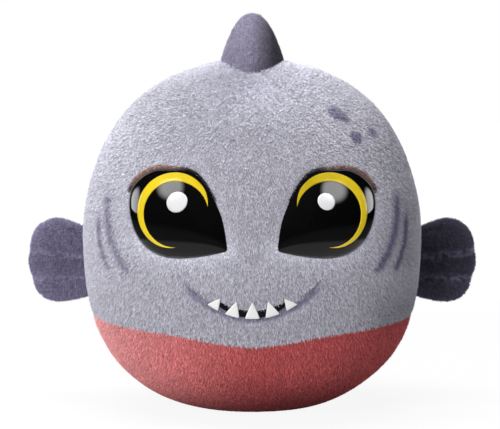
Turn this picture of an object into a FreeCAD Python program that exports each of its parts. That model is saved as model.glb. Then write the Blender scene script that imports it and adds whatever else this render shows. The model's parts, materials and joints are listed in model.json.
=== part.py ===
import FreeCAD, Part
import math
import os

import Sketcher
from FreeCAD import Placement, Rotation, Vector

# A round plush fish that stands on a flat base: a stuffed ball of short-pile
# fabric with a red belly, two moulded eyes, five felt teeth, and four stuffed
# fins that bend at their seams. Millimetres, +Z up, face towards -Y, origin at
# the centre of the flat base. The solids are the fabric's own surface: the
# standing pile is on top of them.

doc = FreeCAD.newDocument("round_fish_plush")
sheet = doc.addObject("Spreadsheet::Sheet", "Sizes")

sizes = {
    # the ball: half its outline, drawn as five arcs that run into each other
    "ball_radius": 98.5,
    "ball_height": 204.5,
    "widest_height": 98.5,
    "shoulder_bend": 85.0,
    "shoulder_start_deg": 20.0,
    "shoulder_end_deg": 66.0,
    "flat_radius": 22.0,
    "corner_inset": 1.5,
    # fabric and clearances
    "hide_thickness": 3.0,
    "ease": 0.1,
    "swing_gap": 0.3,
    # seams: the side seam is a plane behind the widest line, and the red belly
    # dips at the front
    "side_seam_y": 20.0,
    "belly_height": 55.5,
    "belly_knee_x": 45.0,
    "belly_knee_height": 51.5,
    "belly_dip_height": 44.6,
    "base_disc_radius": 36.0,
    # eyes, in a frame on the ball's surface with x outwards and y upwards
    "eye_turn_deg": 26.0,
    "eye_height": 119.0,
    "eye_outer_x": 29.3,
    "eye_outer_y": 2.0,
    "eye_outer_bulge": 0.6,
    "eye_brow_x": 29.0,
    "eye_brow_y": 15.2,
    "eye_brow_bulge": 3.6,
    "eye_top_x": 2.0,
    "eye_top_y": 23.5,
    "eye_top_bulge": 10.0,
    "eye_corner_x": -30.0,
    "eye_corner_y": -19.0,
    "eye_corner_bulge": 1.6,
    "eye_bottom_x": -3.0,
    "eye_bottom_y": -24.0,
    "eye_bottom_bulge": 8.4,
    "eye_sink": 1.2,
    "dome_rise": 10.0,
    "dome_depth": 9.5,
    "dome_half_length": 36.0,
    "dome_half_width": 25.5,
    "dome_slant_deg": 30.0,
    "dome_centre_x": -0.3,
    "dome_centre_y": -1.8,
    "inlay_depth": 0.6,
    "iris_radius": 20.2,
    "iris_x": -1.4,
    "iris_y": 1.4,
    "pupil_radius": 18.2,
    "pupil_x": -4.2,
    "pupil_y": -0.8,
    "dot_x": -5.8,
    "dot_y": 5.4,
    "left_dot_radius": 5.9,
    "right_dot_radius": 4.9,
    "shank_radius": 3.5,
    "shank_length": 15.0,
    "washer_radius": 12.0,
    "washer_thickness": 1.6,
    "washer_bore_gap": 0.1,
    "lash_width": 1.8,
    "lash_rise": 2.2,
    "lash_start_y": 13.5,
    "lash_inner_x": -9.0,
    # mouth: a smile-shaped satin strip set into the face, and teeth on top, whose
    # feet and tips are measured from the smile
    "mouth_height": 64.6,
    "mouth_reach": 21.5,
    "mouth_rise": 6.6,
    "mouth_width": 4.2,
    "mouth_sink": 0.9,
    "tooth_thickness": 1.2,
    "tooth_foot_drop": 3.4,
    "front_tooth_half_width": 4.0,
    "front_tooth_rise": 6.2,
    "side_tooth_inner_x": 7.1,
    "side_tooth_outer_x": 14.7,
    "side_tooth_tip_x": 8.8,
    "side_tooth_rise": 5.3,
    "end_tooth_inner_x": 18.7,
    "end_tooth_outer_x": 24.3,
    "end_tooth_tip_x": 17.6,
    "end_tooth_rise": 3.2,
    # side fins: the filling's outline, in a frame with x along the fin from its
    # root, and y upwards
    "fin_height": 84.5,
    "fin_root_y": 22.0,
    "fin_sweep_deg": 14.0,
    "fin_swing_deg": 30.0,
    "fin_cover": 1.4,
    "fin_root_low_x": -4.0,
    "fin_root_low_y": -16.5,
    "fin_root_high_x": -4.0,
    "fin_root_high_y": 16.0,
    "fin_root_high_bulge": 1.0,
    "fin_top_x": 22.0,
    "fin_top_y": 22.8,
    "fin_top_bulge": 5.0,
    "fin_notch_high_x": 36.0,
    "fin_notch_high_y": 5.4,
    "fin_notch_high_bulge": 2.0,
    "fin_notch_low_x": 34.6,
    "fin_notch_low_y": -10.4,
    "fin_notch_low_bulge": 3.4,
    "fin_bottom_x": 20.0,
    "fin_bottom_y": -22.9,
    "fin_bottom_bulge": 1.0,
    "fin_half_thickness": 5.8,
    "fin_face_radius": 90.0,
    "fin_centre_x": 18.0,
    # tail fin, in the same kind of frame
    "tail_height": 82.0,
    "tail_swing_deg": 30.0,
    "tail_root_low_x": -4.0,
    "tail_root_low_y": -11.0,
    "tail_root_high_x": -4.0,
    "tail_root_high_y": 11.0,
    "tail_root_high_bulge": -1.2,
    "tail_upper_x": 25.0,
    "tail_upper_y": 23.0,
    "tail_upper_bulge": 3.0,
    "tail_upper_end_x": 34.0,
    "tail_upper_end_y": 16.0,
    "tail_upper_end_bulge": 1.2,
    "tail_fork_x": 27.0,
    "tail_fork_y": 0.0,
    "tail_fork_bulge": 1.2,
    "tail_lower_end_x": 34.0,
    "tail_lower_end_y": -16.0,
    "tail_lower_end_bulge": 3.0,
    "tail_lower_x": 25.0,
    "tail_lower_y": -23.0,
    "tail_lower_bulge": -1.2,
    "tail_half_thickness": 5.8,
    "tail_face_radius": 90.0,
    "tail_centre_x": 14.0,
    # dorsal fin: upright, thick in the middle, swept back to a rounded tip, with
    # its rise and its root measured from the top of the ball
    "dorsal_rise": 26.5,
    "dorsal_root_depth": 14.5,
    "dorsal_half_width": 21.0,
    "dorsal_front_y": -46.0,
    "dorsal_back_y": 42.0,
    "dorsal_tip_y": 15.0,
    "dorsal_tip_half_length": 3.0,
    "dorsal_front_curve": 1.6,
    "dorsal_back_curve": 1.6,
    "dorsal_side_curve": 0.46,
    "dorsal_cover": 1.4,
    "dorsal_swing_deg": 10.0,
    # the weighted pouch inside the base
    "pouch_radius": 46.0,
    "pouch_half_height": 13.0,
    "pouch_bottom": 6.0,
    "pouch_fabric": 0.8,
}
for row, (alias, value) in enumerate(sizes.items(), start=1):
    sheet.set("A%d" % row, alias)
    sheet.set("B%d" % row, str(value))
    sheet.setAlias("B%d" % row, alias)
doc.recompute()

far = 160.0  # further out than anything on the fish
parts = {}  # the finished pieces by node name


def add(kind, name, **settings):
    # A text that starts with "=" is an expression, and anything else a value.
    piece = doc.addObject(kind, name)
    piece.Label = name
    for key, value in settings.items():
        if isinstance(value, str) and value.startswith("="):
            piece.setExpression(key, value[1:])
        else:
            setattr(piece, key, value)
    return piece


def cut(name, base, *tools):
    for number, tool in enumerate(tools, start=1):
        last = number == len(tools)
        label = name if last else "%s_step_%d" % (name, number)
        base = add("Part::Cut", label, Base=base, Tool=tool)
    return base


def common(name, *shapes):
    return add("Part::MultiCommon", name, Shapes=list(shapes))


def keep(piece):
    parts[piece.Label] = piece
    return piece


# ---- the ball's outline ----


class BallOutline:
    # The outline's centres and radii. Growing or shrinking the ball keeps the
    # centres and adds the same amount to each radius.
    def __init__(self):
        start = math.radians(sizes["shoulder_start_deg"])
        end = math.radians(sizes["shoulder_end_deg"])
        radius = sizes["ball_radius"]
        rise = sizes["ball_height"] - sizes["widest_height"]
        bend = sizes["shoulder_bend"]
        a, b = math.cos(start) - 1, -math.cos(end)
        c, d = math.sin(start), 1 - math.sin(end)
        e = bend * (math.cos(start) - math.cos(end)) - radius
        f = bend * (math.sin(start) - math.sin(end)) + rise
        self.side_bend = (e * d - b * f) / (a * d - b * c)
        self.crown_bend = (a * f - e * c) / (a * d - b * c)
        self.start, self.end = start, end
        self.shoulder_bend = bend
        self.side = Vector(radius - self.side_bend, sizes["widest_height"])
        reach = self.side_bend - bend
        self.shoulder = self.side + Vector(math.cos(start), math.sin(start)) * reach
        self.crown = Vector(0, sizes["ball_height"] - self.crown_bend)
        flat = sizes["flat_radius"]
        across = radius - flat
        corner = across - sizes["corner_inset"]
        up = sizes["widest_height"] - corner
        self.corner_bend = corner
        self.corner = Vector(flat, corner)
        self.low_bend = (across**2 + up**2 - corner**2) / (2 * (across - corner))
        self.low = Vector(radius - self.low_bend, sizes["widest_height"])
        self.low_start = math.atan2(self.corner.y - self.low.y, self.corner.x - self.low.x)

    def arcs(self, inset):
        return [
            (self.corner, self.corner_bend - inset, -math.pi / 2, self.low_start),
            (self.low, self.low_bend - inset, self.low_start, 0),
            (self.side, self.side_bend - inset, 0, self.start),
            (self.shoulder, self.shoulder_bend - inset, self.start, self.end),
            (self.crown, self.crown_bend - inset, self.end, math.pi / 2),
        ]

    def at(self, height):
        # The surface's radius at a height, and how far its normal tilts up.
        for centre, bend, first, last in self.arcs(0):
            sine = (height - centre.y) / bend
            if abs(sine) <= 1 and first <= math.asin(sine) <= last:
                tilt = math.asin(sine)
                return centre.x + bend * math.cos(tilt), tilt
        raise ValueError("no surface at height %g" % height)


outline = BallOutline()


def origin_feature(body, role):
    return next(f for f in body.Origin.OriginFeatures if f.Role == role)


def ball(name, *insets):
    # A solid ball whose surface lies inside the outline by the named sizes
    # added up, or outside it by those with a minus sign.
    inset = sum(-sizes[i[1:]] if i[0] == "-" else sizes[i] for i in insets)
    less = "".join(" + Sizes." + i[1:] if i[0] == "-" else " - Sizes." + i for i in insets)
    body = doc.addObject("PartDesign::Body", name)
    body.Label = name
    sketch = body.newObject("Sketcher::SketchObject", name + "_outline")
    sketch.AttachmentSupport = [(origin_feature(body, "XZ_Plane"), "")]
    sketch.MapMode = "FlatFace"
    flat = sizes["flat_radius"]
    top = sizes["ball_height"] - inset
    sketch.addGeometry(Part.LineSegment(Vector(0, inset), Vector(flat, inset)), False)
    for centre, bend, first, last in outline.arcs(inset):
        circle = Part.Circle(centre, Vector(0, 0, 1), bend)
        sketch.addGeometry(Part.ArcOfCircle(circle, first, last), False)
    sketch.addGeometry(Part.LineSegment(Vector(0, top), Vector(0, inset)), False)
    base, corner, low, side, shoulder, crown, axis = range(7)
    for first, second in zip(range(base, crown), range(corner, axis)):
        sketch.addConstraint(Sketcher.Constraint("Tangent", first, 2, second, 1))
    sketch.addConstraint(Sketcher.Constraint("Coincident", crown, 2, axis, 1))
    sketch.addConstraint(Sketcher.Constraint("Coincident", axis, 2, base, 1))
    sketch.addConstraint(Sketcher.Constraint("Horizontal", base))
    sketch.addConstraint(Sketcher.Constraint("Vertical", axis))
    sketch.addConstraint(Sketcher.Constraint("PointOnObject", axis, 1, -2))
    sketch.addConstraint(Sketcher.Constraint("PointOnObject", crown, 3, -2))
    sketch.addConstraint(Sketcher.Constraint("Horizontal", low, 3, side, 3))
    widest, height = sizes["widest_height"], "Sizes.widest_height"
    span = math.pi / 2 - outline.end
    corner_bend = "Sizes.ball_radius - Sizes.flat_radius - Sizes.corner_inset"
    driven = [
        (("DistanceX", -1, 1, corner, 3, flat), "Sizes.flat_radius"),
        (("DistanceY", -1, 1, corner, 3, outline.corner_bend), corner_bend),
        (("Radius", corner, outline.corner_bend - inset), corner_bend + less),
        (("DistanceY", -1, 1, side, 3, widest), height),
        (("DistanceX", -1, 1, side, 1, sizes["ball_radius"] - inset), "Sizes.ball_radius" + less),
        (("Radius", shoulder, outline.shoulder_bend - inset), "Sizes.shoulder_bend" + less),
        (("Angle", side, outline.start), "Sizes.shoulder_start_deg * 1deg"),
        (("Angle", crown, span), "90deg - Sizes.shoulder_end_deg * 1deg"),
        (("DistanceY", -1, 1, crown, 2, top), "Sizes.ball_height" + less),
    ]
    for settings, expression in driven:
        index = sketch.addConstraint(Sketcher.Constraint(*settings))
        sketch.setExpression("Constraints[%d]" % index, expression)
    turned = body.newObject("PartDesign::Revolution", name + "_turned")
    turned.Profile = sketch
    turned.ReferenceAxis = (sketch, ["V_Axis"])
    turned.Angle = 360
    return body


def arc_loop(name, corners, placement, side=1):
    # A closed sketch through named corners. A corner's bulge is how far the edge
    # to the next one stands out from a straight line. Side -1 mirrors it.
    sketch = add("Sketcher::SketchObject", name, Placement=placement)
    points = [Vector(sizes[c + "_x"], sizes[c + "_y"]) for c in corners]
    points = [Vector(side * p.x, p.y) for p in points]
    centre = sum(points, Vector()) * (1 / len(points))
    for number, corner in enumerate(corners):
        here = points[number]
        there = points[(number + 1) % len(points)]
        bulge = sizes.get(corner + "_bulge", 0)
        edge = Part.LineSegment(here, there)
        if bulge:
            middle = (here + there) * 0.5
            outwards = Vector(here.y - there.y, there.x - here.x).normalize()
            if outwards.dot(middle - centre) < 0:
                outwards = -outwards
            edge = Part.Arc(here, middle + outwards * bulge, there)
        sketch.addGeometry(edge, False)
        if bulge:
            radius = sketch.Geometry[number].Radius
            sketch.addConstraint(Sketcher.Constraint("Radius", number, radius))

    def end_at(edge, point):
        near = (sketch.getPoint(edge, 1) - point).Length < 1e-6
        return 1 if near else 2

    for number, corner in enumerate(corners):
        here = points[number]
        end = end_at(number, here)
        before = (number - 1) % len(points)
        settings = ("Coincident", before, end_at(before, here), number, end)
        sketch.addConstraint(Sketcher.Constraint(*settings))
        sign = "-" if side < 0 else ""
        placed = [
            ("DistanceX", here.x, "%sSizes.%s_x" % (sign, corner)),
            ("DistanceY", here.y, "Sizes.%s_y" % corner),
        ]
        for kind, value, expression in placed:
            index = sketch.addConstraint(Sketcher.Constraint(kind, -1, 1, number, end, value))
            sketch.setExpression("Constraints[%d]" % index, expression)
    return sketch


def prism(name, profile, forward, backward):
    return add(
        "Part::Extrusion",
        name,
        Base=profile,
        DirMode="Normal",
        LengthFwd=forward,
        LengthRev=backward,
        Solid=True,
    )


def grown(name, profile, grow):
    # The same outline, pushed out by an expression.
    return add("Part::Offset2D", name, Source=profile, Value=grow, Join=0, Fill=False)


def box(name, low, high, placement=Placement()):
    corner = Placement(Vector(*low), Rotation())
    sides = [b - a for a, b in zip(low, high)]
    return add(
        "Part::Box",
        name,
        Length=sides[0],
        Width=sides[1],
        Height=sides[2],
        Placement=placement.multiply(corner),
    )


upright = Rotation(Vector(1, 0, 0), 90)  # a sketch seen from the front
front_view = Placement(Vector(), upright)


def straight_loop(name, points):
    sketch = add("Sketcher::SketchObject", name, Placement=front_view)
    for number, point in enumerate(points):
        following = points[(number + 1) % len(points)]
        sketch.addGeometry(Part.LineSegment(point, following), False)
    for number in range(len(points)):
        before = (number - 1) % len(points)
        sketch.addConstraint(Sketcher.Constraint("Coincident", before, 2, number, 1))
    return sketch


# ---- the hide: six panels sewn edge to edge ----

ball_outside = ball("ball_outside")
ball_inside = ball("ball_inside", "hide_thickness")
hide = cut("hide", ball_outside, ball_inside)


def belly_line(name, low):
    # The front's seam between grey and red, closed far above or far below.
    seam = [
        ("ball_radius", "belly_height"),
        ("belly_knee_x", "belly_knee_height"),
        (None, "belly_dip_height"),
    ]
    right = [Vector(sizes[x] if x else 0, sizes[z]) for x, z in seam]
    left = [Vector(-p.x, p.y) for p in reversed(right[:-1])]
    end = -far if low else 2 * far
    rim = [Vector(far, sizes["belly_height"]), *right, *left]
    rim += [Vector(-far, sizes["belly_height"]), Vector(-far, end), Vector(far, end)]
    sketch = straight_loop(name, rim)
    driven = [
        ("DistanceX", 1, "ball_radius"),
        ("DistanceY", 1, "belly_height"),
        ("DistanceX", 2, "belly_knee_x"),
        ("DistanceY", 2, "belly_knee_height"),
        ("DistanceY", 3, "belly_dip_height"),
    ]
    for kind, number, alias in driven:
        value = rim[number].x if kind == "DistanceX" else rim[number].y
        index = sketch.addConstraint(Sketcher.Constraint(kind, -1, 1, number, 1, value))
        sketch.setExpression("Constraints[%d]" % index, "Sizes." + alias)
    return prism(name + "_space", sketch, far, far)


seam_y, belly_height = sizes["side_seam_y"], sizes["belly_height"]
front_space = box("front_space", (-far, -far, -1), (far, seam_y, 2 * far))
back_low_space = box("back_low_space", (-far, seam_y, -1), (far, far, belly_height))
back_left_space = box("back_left_space", (-far, seam_y, belly_height), (0, far, 2 * far))
back_right_space = box("back_right_space", (0, seam_y, belly_height), (far, far, 2 * far))
disc_core = add("Part::Cylinder", "disc_core", Radius="=Sizes.base_disc_radius", Height=far / 2)

face_blank = common("face_blank", hide, front_space, belly_line("above_belly", False))
belly_blank = common("belly_blank", hide, front_space, belly_line("below_belly", True))
keep(cut("belly_front_panel", belly_blank, disc_core))
keep(cut("belly_back_panel", common("belly_back_blank", hide, back_low_space), disc_core))
keep(common("base_disc", hide, disc_core))
keep(common("back_panel_left", hide, back_left_space))
keep(common("back_panel_right", hide, back_right_space))

# ---- eyes: a moulded dome with a shank, two inlays, a washer and a lash strip ----

ball_seat = ball("ball_seat", "eye_sink")
ball_skin = ball("ball_skin", "-ease")
ball_lash = ball("ball_lash", "-lash_rise")
lash_layer = cut("lash_layer", ball_lash, ball_skin)
eye_corners = ["eye_outer", "eye_brow", "eye_top", "eye_corner", "eye_bottom"]


def eye_frame(side):
    # On the ball's surface, z outwards, x to the fish's left as seen from the front.
    radius, tilt = outline.at(sizes["eye_height"])
    turn = Rotation(Vector(0, 0, 1), side * sizes["eye_turn_deg"])
    lean = Rotation(Vector(1, 0, 0), -math.degrees(tilt))
    ahead = turn.multVec(Vector(0, -radius, sizes["eye_height"]))
    return Placement(ahead, turn.multiply(lean).multiply(upright))


def rod(name, frame, radius, x, y, low, high):
    base = frame.multiply(Placement(Vector(x, y, low), Rotation()))
    return add("Part::Cylinder", name, Radius=radius, Height=high - low, Placement=base)


def dome(name, frame, side, less):
    centre = Vector(side * sizes["dome_centre_x"], sizes["dome_centre_y"], -sizes["dome_depth"])
    slant = Rotation(Vector(0, 0, 1), side * sizes["dome_slant_deg"])
    return add(
        "Part::Ellipsoid",
        name,
        Radius1="=Sizes.dome_rise + Sizes.dome_depth - " + less,
        Radius2="=Sizes.dome_half_length - " + less,
        Radius3="=Sizes.dome_half_width - " + less,
        Angle1=-90,
        Angle2=90,
        Placement=frame.multiply(Placement(centre, slant)),
    )


def eye(name, side):
    frame = eye_frame(side)
    shape = arc_loop(name + "_outline", eye_corners, frame, side)
    reach = sizes["dome_rise"] + sizes["dome_depth"]
    block = prism(name + "_block", shape, reach, reach)
    bulge = dome(name + "_bulge", frame, side, "0")
    core = dome(name + "_core", frame, side, "Sizes.inlay_depth")
    blank = cut(name + "_blank", common(name + "_form", block, bulge), ball_seat)
    skin = cut(name + "_skin", blank, core)
    iris_x, iris_y = side * sizes["iris_x"], sizes["iris_y"]
    pupil_x, pupil_y = side * sizes["pupil_x"], sizes["pupil_y"]
    dot_x, dot_y = side * sizes["dot_x"], sizes["dot_y"]
    dot_radius = "=Sizes." + name.replace("eye", "dot_radius")
    iris = rod(name + "_iris_rod", frame, "=Sizes.iris_radius", iris_x, iris_y, -reach, reach)
    pupil = rod(name + "_pupil_rod", frame, "=Sizes.pupil_radius", pupil_x, pupil_y, -reach, reach)
    dot = rod(name + "_dot_rod", frame, dot_radius, dot_x, dot_y, -reach, reach)
    crescent = keep(cut(name + "_iris", common(name + "_iris_disc", skin, iris), pupil))
    spark = keep(common(name + "_dot", skin, dot))
    moulding = cut(name + "_moulding", blank, crescent, spark)
    length = sizes["shank_length"]
    shank = rod(name + "_shank", frame, "=Sizes.shank_radius", 0, 0, -length, 1)
    keep(add("Part::MultiFuse", name + "_dome", Shapes=[moulding, shank]))
    # The washer's rim meets the inside of the hide first, because the hide is hollow.
    sagitta = sizes["washer_radius"] ** 2 / (2 * sizes["ball_radius"])
    front = -sizes["hide_thickness"] - sagitta - 2 * sizes["ease"]
    rear = front - sizes["washer_thickness"]
    disc = rod(name + "_washer_disc", frame, "=Sizes.washer_radius", 0, 0, rear, front)
    bore = "=Sizes.shank_radius + Sizes.washer_bore_gap"
    hole = rod(name + "_washer_hole", frame, bore, 0, 0, rear - 1, front + 1)
    keep(cut(name + "_washer", disc, hole))
    pocket_radius = "=Sizes.washer_radius + 2 * Sizes.ease"
    pocket_end = -length - 2 * sizes["ease"]
    pocket = rod(name + "_pocket", frame, pocket_radius, 0, 0, pocket_end, 1)
    shank_hole = rod(name + "_shank_hole", frame, bore, 0, 0, -length, 1)
    # The lash strip follows the eye's upper edge from its outer corner.
    outer_line = grown(name + "_lash_line", shape, "=Sizes.lash_width")
    inner_line = grown(name + "_lash_edge", shape, "=Sizes.ease")
    outer = prism(name + "_lash_outer", outer_line, reach, reach)
    inner = prism(name + "_lash_inner", inner_line, reach, reach)
    ends = sorted((side * sizes["lash_inner_x"], side * far / 2))
    low, high = sizes["lash_start_y"], far / 2
    sector = box(name + "_lash_sector", (ends[0], low, -reach), (ends[1], high, reach), frame)
    keep(cut(name + "_lash", common(name + "_lash_blank", lash_layer, outer, sector), inner))
    return block, shank_hole, pocket


left_block, left_hole, left_pocket = eye("left_eye", -1)
right_block, right_hole, right_pocket = eye("right_eye", 1)
eye_seats = cut("eye_seats", ball("ball_over_eyes", "-ease"), ball_seat)

# ---- mouth ----

ball_mouth = ball("ball_mouth", "mouth_sink")
ball_teeth = ball("ball_teeth", "-ease", "-tooth_thickness")
mouth_layer = cut("mouth_layer", ball_outside, ball_mouth)
tooth_layer = cut("tooth_layer", ball_teeth, ball_skin)


def smile_strip():
    # Two arcs of one smile, joined by short straight ends.
    sketch = add("Sketcher::SketchObject", "mouth_outline", Placement=front_view)
    half = sizes["mouth_width"] / 2
    reach, rise = sizes["mouth_reach"], sizes["mouth_rise"]
    low = sizes["mouth_height"]
    edges = []
    for offset in (-half, half):
        ends = [Vector(s * reach, low + rise + offset) for s in (-1, 1)]
        edges.append(Part.Arc(ends[0], Vector(0, low + offset), ends[1]))
    for side in (-1, 1):
        corners = [Vector(side * reach, low + rise + offset) for offset in (-half, half)]
        edges.append(Part.LineSegment(*corners))
    for edge in edges:
        sketch.addGeometry(edge, False)
    return prism("mouth_strip", sketch, far, 0)


lining = keep(common("mouth_lining", mouth_layer, smile_strip()))


def smile_at(x):
    return sizes["mouth_height"] + sizes["mouth_rise"] * (x / sizes["mouth_reach"]) ** 2


def tooth(name, kind, side):
    # A triangle with its foot below the smile and its tip above it.
    if kind == "front":
        half = sizes["front_tooth_half_width"]
        foot, tip_x = (-half, half), 0
    else:
        foot = [sizes["%s_tooth_%s_x" % (kind, end)] for end in ("inner", "outer")]
        tip_x = sizes[kind + "_tooth_tip_x"]
    corners = [Vector(side * x, smile_at(x) - sizes["tooth_foot_drop"]) for x in foot]
    corners.append(Vector(side * tip_x, smile_at(tip_x) + sizes[kind + "_tooth_rise"]))
    wedge = prism(name + "_wedge", straight_loop(name + "_outline", corners), far, 0)
    keep(common(name, tooth_layer, wedge))


row_of_teeth = [("end", -1), ("side", -1), ("front", 1), ("side", 1), ("end", 1)]
for number, (kind, side) in enumerate(row_of_teeth, start=1):
    tooth("tooth_%d" % number, kind, side)

eye_blocks = add("Part::MultiFuse", "eye_blocks", Shapes=[left_block, right_block])
eye_sockets = common("eye_sockets", eye_seats, eye_blocks)
keep(cut("face_panel", face_blank, eye_sockets, left_hole, right_hole, lining))

# ---- filling and the weighted pouch ----


def pouch(name, grow):
    centre = sizes["pouch_bottom"] + sizes["pouch_half_height"]
    return add(
        "Part::Ellipsoid",
        name,
        Radius1="=Sizes.pouch_half_height + " + grow,
        Radius2="=Sizes.pouch_radius + " + grow,
        Radius3="=Sizes.pouch_radius + " + grow,
        Angle1=-90,
        Angle2=90,
        Placement=Placement(Vector(0, 0, centre), Rotation()),
    )


pouch_outside = pouch("pouch_outside", "0")
pouch_inside = pouch("pouch_inside", "0 - Sizes.pouch_fabric")
keep(cut("pellet_pouch", pouch_outside, pouch_inside))
keep(pouch("pellets", "0 - Sizes.pouch_fabric - Sizes.ease"))
filling_blank = ball("filling_blank", "hide_thickness", "ease")
pouch_room = pouch("pouch_room", "Sizes.ease")
keep(cut("body_filling", filling_blank, pouch_room, left_pocket, right_pocket))

# ---- fins: two covers round a filling, cut to clear the ball over their swing ----

ball_clear = ball("ball_clear", "-swing_gap")
ball_under_filling = ball("ball_under_filling", "-swing_gap", "-swing_gap")


def turned_ball(name, point, axis, angle):
    # The ball as the fin sees it when the fin has swung the other way.
    swing = Rotation(axis, angle)
    shift = point - swing.multVec(point)
    return add("Part::Compound", name, Links=[ball_clear], Placement=Placement(shift, swing))


def stuffed_fin(name, outer, inner, filling, halves, hinge, axis, swing):
    # The two turned balls together reach past the ball at rest, and the third one
    # takes the sharp ridge between them off the filling.
    turns = [turned_ball("%s_clear_%d" % (name, a), hinge, axis, a) for a in (-swing, swing)]
    cover = cut(name + "_cover", outer, inner, *turns)
    for half, space in halves.items():
        keep(common("%s_%s_cover" % (name, half), cover, space))
    keep(cut(name + "_filling", filling, *turns, ball_under_filling))


def fin_face(name, kind, frame, side, less, facing):
    # A fin's faces are shallow parts of two large balls.
    depth = sizes[kind + "_half_thickness"] - sizes[kind + "_face_radius"]
    centre = Placement(Vector(side * sizes[kind + "_centre_x"], 0, facing * depth), Rotation())
    radius = "=Sizes.%s_face_radius - %s" % (kind, less)
    return add("Part::Sphere", name, Radius=radius, Placement=frame.multiply(centre))


def flat_fin(name, kind, corners, root, heading, swing, side, halves):
    # Its own frame has x along the fin, y up and z through its thickness.
    frame = Placement(root, Rotation(Vector(0, 0, 1), heading).multiply(upright))
    shape = arc_loop(name + "_outline", corners, frame, side)
    thick = 2 * sizes[kind + "_half_thickness"]
    solids = []
    for layer, profile, less in (
        ("outer", grown(name + "_edge", shape, "=Sizes.ease + Sizes.fin_cover"), "0"),
        ("inner", grown(name + "_lining", shape, "=Sizes.ease"), "Sizes.fin_cover"),
        ("core", shape, "(Sizes.fin_cover + Sizes.ease)"),
    ):
        label = "%s_%s" % (name, layer)
        block = prism(label + "_block", profile, thick, thick)
        front = fin_face(label + "_front", kind, frame, side, less, 1)
        rear = fin_face(label + "_rear", kind, frame, side, less, -1)
        solids.append(common(label, block, front, rear))
    near, away = halves
    spaces = {
        near: box(name + "_near_space", (-far, -far, 0), (far, far, far), frame),
        away: box(name + "_away_space", (-far, -far, -far), (far, far, 0), frame),
    }
    stuffed_fin(name, *solids, spaces, root, Vector(0, 0, 1), swing)


fin_corners = ["fin_root_low", "fin_root_high", "fin_top", "fin_notch_high"]
fin_corners += ["fin_notch_low", "fin_bottom"]
fin_halves, tail_halves = ("front", "back"), ("right", "left")
tail_corners = ["tail_root_low", "tail_root_high", "tail_upper", "tail_upper_end", "tail_fork"]
tail_corners += ["tail_lower_end", "tail_lower"]
fin_radius, _ = outline.at(sizes["fin_height"])
tail_radius, _ = outline.at(sizes["tail_height"])
root_x = math.sqrt(fin_radius**2 - sizes["fin_root_y"] ** 2)
for name, side in (("left_fin", -1), ("right_fin", 1)):
    root = Vector(side * root_x, sizes["fin_root_y"], sizes["fin_height"])
    heading = side * sizes["fin_sweep_deg"]
    swing = sizes["fin_swing_deg"]
    flat_fin(name, "fin", fin_corners, root, heading, swing, side, fin_halves)
tail_root = Vector(0, tail_radius, sizes["tail_height"])
tail_swing = sizes["tail_swing_deg"]
flat_fin("tail_fin", "tail", tail_corners, tail_root, 90, tail_swing, 1, tail_halves)

# The dorsal fin is lofted through level ellipses that shrink towards its tip.
dorsal_levels = [0.0, 0.3, 0.55, 0.75, 0.9, 0.975]
least_half = 0.6  # the smallest half width that still makes a section


def dorsal_solid(name, cover_share):
    less = cover_share * sizes["dorsal_cover"]
    low = sizes["ball_height"] - sizes["dorsal_root_depth"]
    high = sizes["ball_height"] + sizes["dorsal_rise"] - less
    tip_y, tip_half = sizes["dorsal_tip_y"], sizes["dorsal_tip_half_length"]
    sections = []
    for number, level in enumerate(dorsal_levels):
        ahead = (sizes["dorsal_front_y"] - tip_y) * (1 - level ** sizes["dorsal_front_curve"])
        behind = (sizes["dorsal_back_y"] - tip_y) * (1 - level) ** sizes["dorsal_back_curve"]
        front, back = tip_y - tip_half + ahead, tip_y + tip_half + behind
        spread = sizes["dorsal_half_width"] * (1 - level) ** sizes["dorsal_side_curve"]
        half_width = max(spread - less, least_half)
        half_length = max((back - front) / 2 - less, half_width)
        centre = Vector(0, (front + back) / 2, low + (high - low) * level)
        section = add(
            "Part::Ellipse",
            "%s_section_%d" % (name, number),
            MajorRadius=half_length,
            MinorRadius=half_width,
            Placement=Placement(centre, Rotation(Vector(0, 0, 1), 90)),
        )
        sections.append(section)
    return add("Part::Loft", name, Sections=sections, Solid=True, Ruled=False)


dorsal_outer = dorsal_solid("dorsal_outer", 0)
dorsal_inner = dorsal_solid("dorsal_inner", 1)
dorsal_core = dorsal_solid("dorsal_core", 1 + sizes["ease"] / sizes["dorsal_cover"])
dorsal_halves = {
    "left": box("dorsal_left_space", (-far, -far, 0), (0, far, 2 * far)),
    "right": box("dorsal_right_space", (0, -far, 0), (far, far, 2 * far)),
}
dorsal_hinge = Vector(0, 0, sizes["ball_height"])
dorsal_swing = sizes["dorsal_swing_deg"]
stuffed_fin(
    "dorsal_fin",
    dorsal_outer,
    dorsal_inner,
    dorsal_core,
    dorsal_halves,
    dorsal_hinge,
    Vector(0, 1, 0),
    dorsal_swing,
)

# ---- check and write ----

doc.recompute()
for piece in doc.Objects:
    if {"Invalid", "Error"} & set(piece.State):
        raise RuntimeError("%s failed: %s" % (piece.Label, piece.State))
os.makedirs("parts", exist_ok=True)
for name, piece in parts.items():
    shape = piece.Shape
    if shape.isNull() or not shape.isValid() or not shape.Solids:
        raise RuntimeError("%s has no valid solid" % name)
    shape.exportStep("parts/%s.step" % name)
    print("%-22s %d solid %10.1f mm3" % (name, len(shape.Solids), shape.Volume))
print("hinges: side fins at x %.2f y %.2f" % (root_x, sizes["fin_root_y"]))
print("tail at y %.2f" % tail_radius)
print("dorsal at z %.2f" % sizes["ball_height"])
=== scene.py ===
import json
from math import atan2, ceil, cos, degrees, pi, radians, sin, sqrt

import bmesh
import bpy
import numpy as np
from mathutils import Matrix, Vector, noise


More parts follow.
